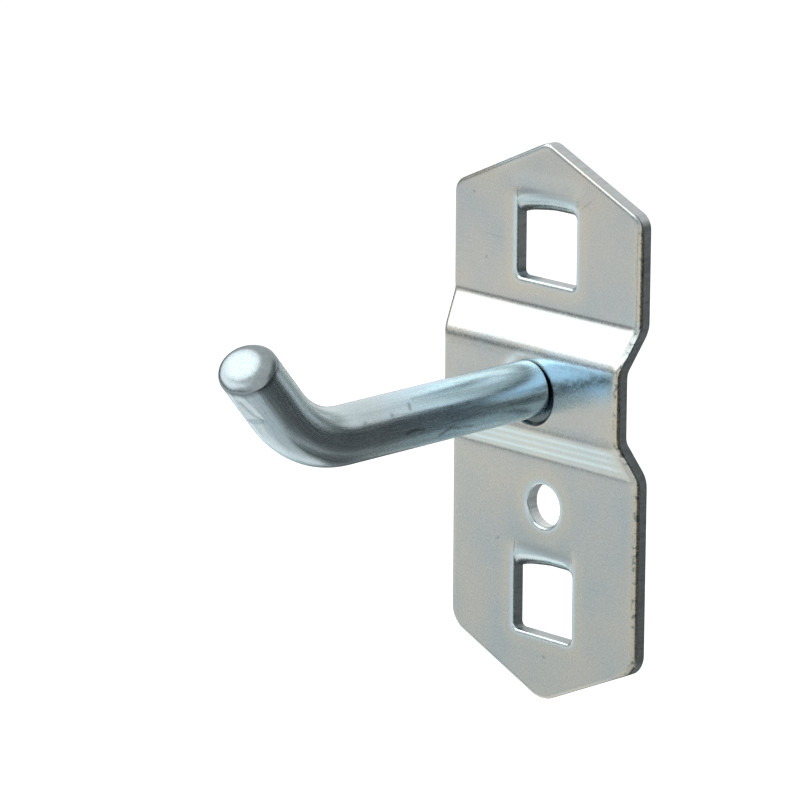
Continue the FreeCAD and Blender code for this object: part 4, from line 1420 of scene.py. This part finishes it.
class Peg:
    """The wire peg: swept wire, sheared and rounded end, tool marks, shoulder, spigot and riveted head."""

    SCUFFS = (
        Scuff((13.8, -7.0), (13.0, -4.0), 0.12, 0.8),
        Scuff((13.0, -4.0), (12.2, -8.0), 0.1, 0.6),
        Scuff((10.5, -30.0), (9.6, -19.0), 0.12, 0.85),
        Scuff((9.6, -19.0), (8.6, -25.0), 0.1, 0.7),
        Scuff((8.4, -23.0), (7.4, -29.0), 0.1, 0.6),
        Scuff((13.0, 48.0), (13.15, 37.0), 0.1, 0.7),
        Scuff((14.8, 34.0), (14.9, 34.0), 0.14, 0.6),
        Scuff((17.3, 33.0), (17.4, 32.0), 0.12, 0.5),
        Scuff((9.5, 22.0), (9.6, 22.0), 0.11, 0.5),
        Scuff((7.9, 22.0), (8.0, 23.0), 0.11, 0.5),
        Scuff((12.5, 58.0), (5.1, 62.0), 0.08, 0.4),
        Scuff((8.0, 71.0), (2.6, 58.0), 0.08, 0.35),
    )
    # Painted shade along the edge beside the arm's flat, as places on the wire, with its half width and strength.
    FLAT_EDGE = ((0.2, -29.4, 12.5), (0.3, -29.0, 12.1), (0.45, -28.5, 11.55), (0.9, -28.1, 11.2))
    FLAT_EDGE_WIDTH = 0.15
    FLAT_EDGE_STRENGTH = 0.55
    # Painted shade on the sheared end's rim starts a little before its rounding and fades just past the rounding's end.
    RIM_STRENGTH = 0.64
    RIM_START = -0.3
    RIM_END = 1.12
    RIM_FADE = 0.25
    # The smallest rings of the end face and of the riveted head, as shares of their full sizes.
    FACE_LEAST = 0.04
    CROWN_LEAST = 0.03
    # How clear the first whole ring keeps of the shoulder's chamfer, and the last one of the end's rounding.
    ROOT_CLEAR = 0.06
    TIP_CLEAR = 0.04
    # The drawing streaks end this many rings into the end's rounding.
    STREAK_RINGS = 2
    SHARP_ANGLE = 50

    def __init__(self, sizes: PegSizes) -> None:
        """Keeps the sizes, and the directions along the arm and out of its outer side."""
        self.sizes = sizes
        sine, cosine = math.sin(sizes.bend_angle), math.cos(sizes.bend_angle)
        self.arm = np.array((0.0, -cosine, sine))
        self.outer = np.array((0.0, -sine, -cosine))
        self.along = np.linspace(0, sizes.length, sizes.rings)

    def tip_rings(self, rings: np.ndarray) -> np.ndarray:
        """The wire with its end sheared a little off square and rounded.

        Args:
            rings: the swept wire's rings, with the end face's middle in the last one.

        Returns:
            The rings with the rounding and the end face added.
        """
        s = self.sizes
        middles = rings.mean(axis=1)
        end = middles[-1]
        section = rings[-1] - end
        unit = section / np.linalg.norm(section, axis=1)[:, None]
        side = np.array((s.face_aside, 0.0, 0.0))
        added = []
        for turn in np.linspace(0, math.pi / 2, s.round_rings):
            inset = 1 - math.cos(turn)
            low = end - self.arm * s.tip_fall * (1 - math.sin(turn))
            added.append(low + side * inset + unit * (s.radius - s.tip_inset * inset))
        flat = s.radius - s.tip_inset
        for share in np.linspace(1, self.FACE_LEAST, s.face_rings)[1:]:
            added.append(end + side + unit * flat * share)
        whole = rings[self.along <= s.length - s.tip_fall - self.TIP_CLEAR]
        result = np.concatenate((whole, np.array(added)))
        base = middles[np.argmin(np.abs(self.along - s.run - s.bend_length))]
        reach = np.clip(((result - base) @ self.arm) / s.arm, 0, 1)
        slip = -result[..., 0] * math.tan(s.skew) * reach**s.skew_power
        return result + slip[..., None] * self.arm

    def root_rings(self, ring: np.ndarray) -> np.ndarray:
        """The rings of the shoulder's chamfer, the spigot and the riveted head, from the head's crown to the wire."""
        s = self.sizes
        middle = ring.mean(axis=0)
        unit = (ring - middle) / np.linalg.norm(ring - middle, axis=1)[:, None]
        dome = (s.head_radius**2 + s.head_height**2) / (2 * s.head_height)
        crown = s.band_back + s.head_height
        turns = np.linspace(self.CROWN_LEAST, 1, s.head_rings) * math.asin(s.head_radius / dome)
        profile = [(crown - dome + dome * math.cos(t), dome * math.sin(t)) for t in turns]
        profile += [(s.band_back, s.spigot_radius), (s.root, s.spigot_radius)]
        profile += [(s.root, s.radius - s.root_chamfer), (s.root - s.root_chamfer, s.radius)]
        return np.array([np.array((0.0, y, s.height)) + unit * radius for y, radius in profile])

    def tool_flats(self) -> tuple[ToolFlat, ToolFlat]:
        """The flats on the arm's outer side and inside the bend."""
        s = self.sizes
        out = math.cos(s.arm_flat_turn) * self.outer + math.sin(s.arm_flat_turn) * np.array((1.0, 0.0, 0.0))
        middle = s.on_bend(s.bend_angle) + self.arm * s.arm_flat_place + out * s.radius
        on_arm = ToolFlat(middle, out, self.arm, s.arm_flat_depth, s.arm_flat_half)
        sine, cosine = math.sin(s.bend_flat_turn), math.cos(s.bend_flat_turn)
        out = np.array((s.bend_flat_aside, sine, cosine))
        middle = s.on_bend(s.bend_flat_turn) + out * s.radius
        back = np.array((0.0, cosine, -sine))
        return on_arm, ToolFlat(middle, out, back, s.bend_flat_depth, s.bend_flat_half)

    def skin(self, count: int, around: int) -> list[tuple[int, ...]]:
        """The faces between the rings and at both ends, where one point closes each end.

        Args:
            count: how many rings there are.
            around: how many points each has.

        Returns:
            The faces, as numbers of points.
        """
        following = [(i, (i + 1) % around) for i in range(around)]
        faces: list[tuple[int, ...]] = []
        for low in range(0, (count - 1) * around, around):
            faces.extend((low + i, low + j, low + around + j, low + around + i) for i, j in following)
        last = (count - 1) * around
        for i, j in following:
            faces.append((j, i, count * around))
            faces.append((last + i, last + j, count * around + 1))
        return faces

    def make(self, wire: bpy.types.Material) -> bpy.types.Object:
        """Builds the peg and dresses it.

        Args:
            wire: its finish.

        Returns:
            The finished piece.
        """
        s = self.sizes
        swept = self.tip_rings(WireTree(s, wire).rings() + np.array((0.0, s.root, s.height)))
        for flat in self.tool_flats():
            swept = flat.press(swept, s.radius)
        first = int(np.argmax(self.along > s.root_chamfer + self.ROOT_CLEAR))
        rings = np.concatenate((self.root_rings(swept[0]), swept[first:]))
        count, around = rings.shape[:2]
        ends = [rings[i].mean(axis=0)[None] for i in (0, -1)]
        points = np.concatenate((rings.reshape(-1, 3), *ends))
        piece = mesh_object("peg_zinc", points, self.skin(count, around))
        self.lay_uv(piece, rings)
        piece.data.materials.append(wire)
        ring = np.concatenate((np.arange(count * around) // around, (0, count - 1)))
        from_rounding = ring - (count - s.round_rings - s.face_rings + 1)
        on_end = (from_rounding >= self.STREAK_RINGS) | (ring < s.head_rings)
        carry(piece, Look.END_FACE, on_end.astype(float))
        # Scuffed marks, with painted shade beside the arm's flat and on the end's rounded rim.
        carry(piece, Look.SCUFF_AND_SHADE, np.maximum(self.scuffs_and_shade(points), self.painted_rim_shade(from_rounding)))
        smooth(piece, self.SHARP_ANGLE)
        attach(piece, "root")
        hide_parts("peg")
        return piece

    def scuffs_and_shade(self, points: np.ndarray) -> np.ndarray:
        """How dark the scuffed marks, and the painted shade beside the arm's flat, are at each of the peg's points."""
        s = self.sizes
        turn = np.arctan2(points[:, 2] - s.height, points[:, 0])
        places = np.column_stack((s.root - points[:, 1], turn * s.radius))
        result = np.zeros(len(points))
        for darkening in self.SCUFFS:
            ends = [np.array((reach, math.radians(angle) * s.radius)) for reach, angle in (darkening.start, darkening.end)]
            result = np.maximum(result, darkening.strength * bell(line_gaps(places, *ends), 0, darkening.half_width))
        # Painted shade along the edge beside the arm's flat.
        edge = np.array(self.FLAT_EDGE)
        for ends in zip(edge, edge[1:]):
            dark = bell(line_gaps(points, *ends), 0, self.FLAT_EDGE_WIDTH)
            result = np.maximum(result, self.FLAT_EDGE_STRENGTH * dark)
        return result

    def painted_rim_shade(self, from_rounding: np.ndarray) -> np.ndarray:
        """Painted shade at each point of the sheared end's rounded rim, by its rings from the rounding's start."""
        turn = from_rounding / (self.sizes.round_rings - 1)
        before = ramp(turn, self.RIM_START, -self.RIM_START)
        return self.RIM_STRENGTH * ramp(turn, self.RIM_END, -self.RIM_FADE) * before

    def lay_uv(self, piece: bpy.types.Object, rings: np.ndarray) -> None:
        """Gives the peg coordinates along and round the wire, in millimetres.

        Args:
            piece: the peg.
            rings: its rings of points.
        """
        count, around = rings.shape[:2]
        middles = rings.mean(axis=1)
        along = np.concatenate(([0.0], np.cumsum(np.linalg.norm(np.diff(middles, axis=0), axis=1))))
        layer = piece.data.uv_layers.new(name="wire")
        turn = 2 * math.pi * self.sizes.radius / around
        for polygon in piece.data.polygons:
            places = [piece.data.loops[k].vertex_index for k in polygon.loop_indices]
            wraps = any(p < count * around and p % around == around - 1 for p in places)
            for k, place in zip(polygon.loop_indices, places):
                if place >= count * around:
                    layer.data[k].uv = (0.0 if place == count * around else along[-1], 0.0)
                    continue
                step = place % around
                if wraps and step == 0:
                    step = around
                layer.data[k].uv = (along[place // around], step * turn)


@dataclass(frozen=True)
class CameraFit:
    """The photograph's camera: angles in degrees, lengths in millimetres."""

    azimuth: float = 45.25
    elevation: float = 14.73
    roll: float = 0.28
    distance: float = 359.6
    focal_pixels: float = 5276.02
    picture: float = 800.0
    sensor: float = 36.0
    aside: float = 10.366
    raised: float = -1.614
    middle: Triple = (0.0, -0.194, 5.7)
    clip_metres: tuple[float, float] = (0.01, 20.0)

    def make(self) -> None:
        """Adds the camera where the photograph was taken."""
        az, el, roll = (math.radians(angle) for angle in (self.azimuth, self.elevation, self.roll))
        back = Vector((math.sin(az) * math.cos(el), -math.cos(az) * math.cos(el), math.sin(el)))
        right = Vector((math.cos(az), math.sin(az), 0.0))
        up = back.cross(right)
        right, up = right * math.cos(roll) + up * math.sin(roll), up * math.cos(roll) - right * math.sin(roll)
        place = Vector(self.middle) - right * self.aside - up * self.raised + back * self.distance
        camera = bpy.data.cameras.new("photo_camera")
        camera.sensor_width = self.sensor
        camera.lens = self.focal_pixels / self.picture * self.sensor
        camera.clip_start, camera.clip_end = self.clip_metres
        holder = bpy.data.objects.new("photo_camera", camera)
        turn = Matrix((right, up, back)).transposed().to_4x4()
        holder.matrix_world = Matrix.Translation(place * MM) @ turn
        bpy.context.scene.collection.objects.link(holder)
        bpy.context.scene.camera = holder


@dataclass(frozen=True)
class Softbox:
    """A soft rectangular lamp, by its place, size and brightness as the metal sees it."""

    name: str
    place: Triple
    size: tuple[float, float]
    brightness: float
    color: Triple = (1.0, 1.0, 1.0)
    mirrored: bool = True

    def make(self, target: Vector) -> None:
        """Adds the lamp, turned to the target."""
        lamp = bpy.data.lights.new(self.name, "AREA")
        lamp.shape = "RECTANGLE"
        lamp.size, lamp.size_y = self.size[0] * MM, self.size[1] * MM
        lamp.energy = self.brightness * math.pi * lamp.size * lamp.size_y
        lamp.color = self.color
        holder = bpy.data.objects.new(self.name, lamp)
        holder.location = Vector(self.place) * MM
        holder.rotation_euler = (target - holder.location).to_track_quat("-Z", "Y").to_euler()
        holder.visible_camera = False
        holder.visible_glossy = self.mirrored
        bpy.context.scene.collection.objects.link(holder)


def level(height: float, *stops: tuple[float, float]) -> tuple[Triple, ...]:
    """The profile of a level card, from distances and how pale it is at each."""
    return tuple((distance, height, pale) for distance, pale in stops)


def wall(distance: float, *stops: tuple[float, float]) -> tuple[Triple, ...]:
    """The profile of an upright card, from heights and how pale it is at each."""
    return tuple((distance, height, pale) for height, pale in stops)


@dataclass(frozen=True)
class Card:
    """A card that only mirrors in the metal: a bent strip round the object.

    Its azimuths are in degrees from +Y towards +X. Each point of its profile gives a distance from the object, a
    height and how pale the card is there.
    """

    name: str
    azimuths: tuple[float, float]
    profile: tuple[Triple, ...]
    tint: Triple = (0.94, 1.0, 1.03)
    glow: float = 0.0
    columns: int = 31

    def make(self) -> None:
        """Adds the card."""
        turns = np.radians(np.linspace(*self.azimuths, self.columns))
        count = len(self.profile)
        points = np.array([(r * math.sin(t), r * math.cos(t), z) for t in turns for r, z, _ in self.profile])
        corners = [i * count + k for i in range(len(turns) - 1) for k in range(count - 1)]
        card = mesh_object(self.name, points, [(c, c + count, c + count + 1, c + 1) for c in corners])
        shades = card.data.color_attributes.new("shade", "FLOAT_COLOR", "POINT")
        colors = [(*(pale * channel for channel in self.tint), 1.0) for _ in turns for _, _, pale in self.profile]
        shades.data.foreach_set("color", np.array(colors, np.float32).ravel())
        nodes = MaterialNodes(self.name)
        shade = nodes.add("ShaderNodeAttribute", attribute_name="shade").outputs["Color"]
        card.data.materials.append(nodes.close_matt(shade, shade, self.glow))
        card.visible_camera = False
        card.visible_diffuse = False
        card.visible_shadow = False
        card.visible_transmission = False


@dataclass(frozen=True)
class Studio:
    """A pale floor, soft lamps, cards that the metal mirrors, and the camera."""

    camera: CameraFit = CameraFit()
    target: Triple = (0.0, -0.011, 0.008)
    white: Color = (1.0, 1.0, 1.0, 1.0)
    floor_height: float = -48.0
    floor_half: float = 2500.0
    floor_color: Color = (0.85, 0.85, 0.85, 1.0)
    floor_glow: float = 0.25
    camera_glow: float = 0.2
    world_light: float = 0.7
    cards: tuple[Card, ...] = (
        Card("dark_side_floor", (20.0, 72.0), level(-47.5, (34.0, 0.36), (60.0, 0.16), (110.0, 0.1))),
        Card("dark_front_floor", (72.0, 128.0), level(-47.5, (40.0, 0.5), (52.0, 0.3), (66.0, 0.16), (110.0, 0.12))),
        Card("dark_side_wall", (36.0, 100.0), wall(110.0, (-47.5, 0.14), (0.0, 0.1), (42.0, 0.1), (66.0, 0.2))),
        Card("grey_slope_wall", (54.0, 100.0), ((110.0, 66.0, 0.2), (170.0, 215.0, 0.38))),
        Card("dark_tip_wall", (100.0, 122.0), ((110.0, 3.0, 0.2), (110.0, 66.0, 0.12), (170.0, 215.0, 0.3))),
        Card("dark_front_wall", (100.0, 146.0), wall(110.0, (-47.5, 0.1), (-10.0, 0.05), (3.0, 0.2))),
        Card(
            "grey_side_wall",
            (18.0, 36.0),
            wall(110.0, (-47.5, 0.45), (0.0, 0.85), (24.0, 0.85), (38.0, 0.15), (66.0, 0.2)),
        ),
        Card("dark_back_mat", (-66.0, 20.0), level(-47.4, (34.0, 0.3), (48.0, 0.14), (125.0, 0.1))),
        Card("dark_back_left_wall", (-66.0, -39.0), ((125.0, -47.4, 0.1), (170.0, -47.4, 0.1), (170.0, 4.0, 0.14))),
        Card("pale_back_wall", (-39.0, -8.0), ((125.0, -47.4, 0.5), (170.0, -47.4, 0.8), (170.0, 4.0, 0.8))),
        Card("dark_back_wall", (-8.0, 20.0), ((125.0, -47.4, 0.1), (170.0, -47.4, 0.1), (170.0, 4.0, 0.14))),
        Card("dark_under_mat", (-60.0, 140.0), level(-47.3, (2.0, 0.12), (30.0, 0.14), (38.0, 0.4))),
        Card("grey_front_sheet", (128.0, 205.0), level(-47.6, (4.0, 0.74), (190.0, 0.74))),
        Card("grey_near_left_sheet", (205.0, 231.0), level(-47.6, (52.0, 0.84), (190.0, 0.80))),
        Card(
            "grey_bend_sheet",
            (231.0, 250.0),
            level(-47.6, (52.0, 0.7), (62.0, 0.48), (78.0, 0.48), (90.0, 0.98), (130.0, 0.98), (150.0, 0.76)),
        ),
        Card("grey_left_sheet", (250.0, 290.0), level(-47.6, (92.0, 0.9), (110.0, 0.74), (190.0, 0.74))),
        Card("left_reflector", (254.0, 270.0), level(-47.5, (34.0, 0.9), (92.0, 0.9)), (0.88, 1.0, 1.03), 0.6),
        Card("bend_reflector", (196.0, 214.0), wall(400.0, (75.0, 0.95), (165.0, 0.95)), glow=0.9),
        Card("left_cyan_sheet", (270.0, 298.0), level(-47.5, (28.0, 0.62), (74.0, 0.62)), (0.80, 1.0, 1.04)),
        Card(
            "pale_front_wall",
            (160.0, 197.0),
            wall(300.0, (-47.5, 0.95), (20.0, 0.95), (45.0, 0.55), (150.0, 0.5)),
            glow=0.15,
        ),
        Card("grey_far_wall", (160.0, 245.0), wall(900.0, (-47.7, 0.48), (150.0, 0.48))),
        Card("grey_left_wall", (245.0, 306.0), wall(900.0, (-47.7, 0.48), (520.0, 0.42))),
        Card("grey_top_card", (20.0, 140.0), level(215.0, (0.5, 0.4), (170.0, 0.4))),
    )
    lamps: tuple[Softbox, ...] = (
        Softbox("key_softbox", (-150.0, -190.0, 190.0), (240.0, 170.0), 1.65, (0.96, 0.99, 1.0)),
        Softbox("top_softbox", (-40.0, 60.0, 260.0), (200.0, 200.0), 1.3, (0.97, 0.99, 1.0), False),
        Softbox("tip_softbox", (-98.0, -88.0, 215.0), (34.0, 34.0), 1.7, (0.97, 1.0, 1.0)),
    )

    def make(self) -> None:
        """Builds the whole studio."""
        self.make_world()
        self.make_floor()
        for card in self.cards:
            card.make()
        for lamp in self.lamps:
            lamp.make(Vector(self.target))
        self.camera.make()
        bpy.context.scene.view_settings.view_transform = "Standard"

    def make_world(self) -> None:
        """A white surround, which lights the object at a plain level."""
        world = bpy.data.worlds.new("studio")
        bpy.context.scene.world = world
        world.use_nodes = True
        nodes = NodeTree(world.node_tree)
        strength = nodes.between(nodes.seen(), 0.0, 1.0, self.world_light, 1.0)
        light = nodes.add("ShaderNodeBackground", {"Color": self.white, "Strength": strength})
        nodes.add("ShaderNodeOutputWorld", {"Surface": light.outputs[0]})

    def make_floor(self) -> None:
        """A pale floor that reads white and keeps the object's shadow."""
        half, height = self.floor_half, self.floor_height
        corners = np.array([(-half, -half, height), (half, -half, height), (half, half, height), (-half, half, height)])
        floor = mesh_object("studio_floor", corners, [(0, 1, 2, 3)])
        nodes = MaterialNodes("studio_floor")
        direct = nodes.add("ShaderNodeLightPath").outputs["Is Camera Ray"]
        shared = nodes.math("MULTIPLY", nodes.seen(), self.floor_glow)
        glow = nodes.math("ADD", nodes.math("MULTIPLY", direct, self.camera_glow), shared)
        floor.data.materials.append(nodes.close_matt(self.floor_color, self.white, glow))


def main() -> None:
    """Builds the hook's pieces and the studio, in order."""
    logging.basicConfig(level=logging.INFO, format="%(message)s")
    sizes, forms = PlateSizes(), PlateForms()
    # The screw hole's wall is painted near white: painted light, so that it reads bright instead of shaded.
    pale_hole_wall = CutZinc("zinc_hole_wall_painted_pale", (0.86, 0.88, 0.88, 1.0), roughness=0.6)
    finishes = {PlateSlot.FACE: SheetZinc(), PlateSlot.CUT: CutZinc(), PlateSlot.PUNCHED: pale_hole_wall}
    materials = {slot: finish.material() for slot, finish in finishes.items()}
    plate = BackPlate(sizes, forms, PlateWear(sizes, forms)).make(materials)
    log.info("%s: %d faces", plate.name, len(plate.data.polygons))
    peg = Peg(PegSizes()).make(WireZinc().material())
    log.info("%s: %d faces", peg.name, len(peg.data.polygons))
    Studio().make()


if __name__ == "__main__":
    main()
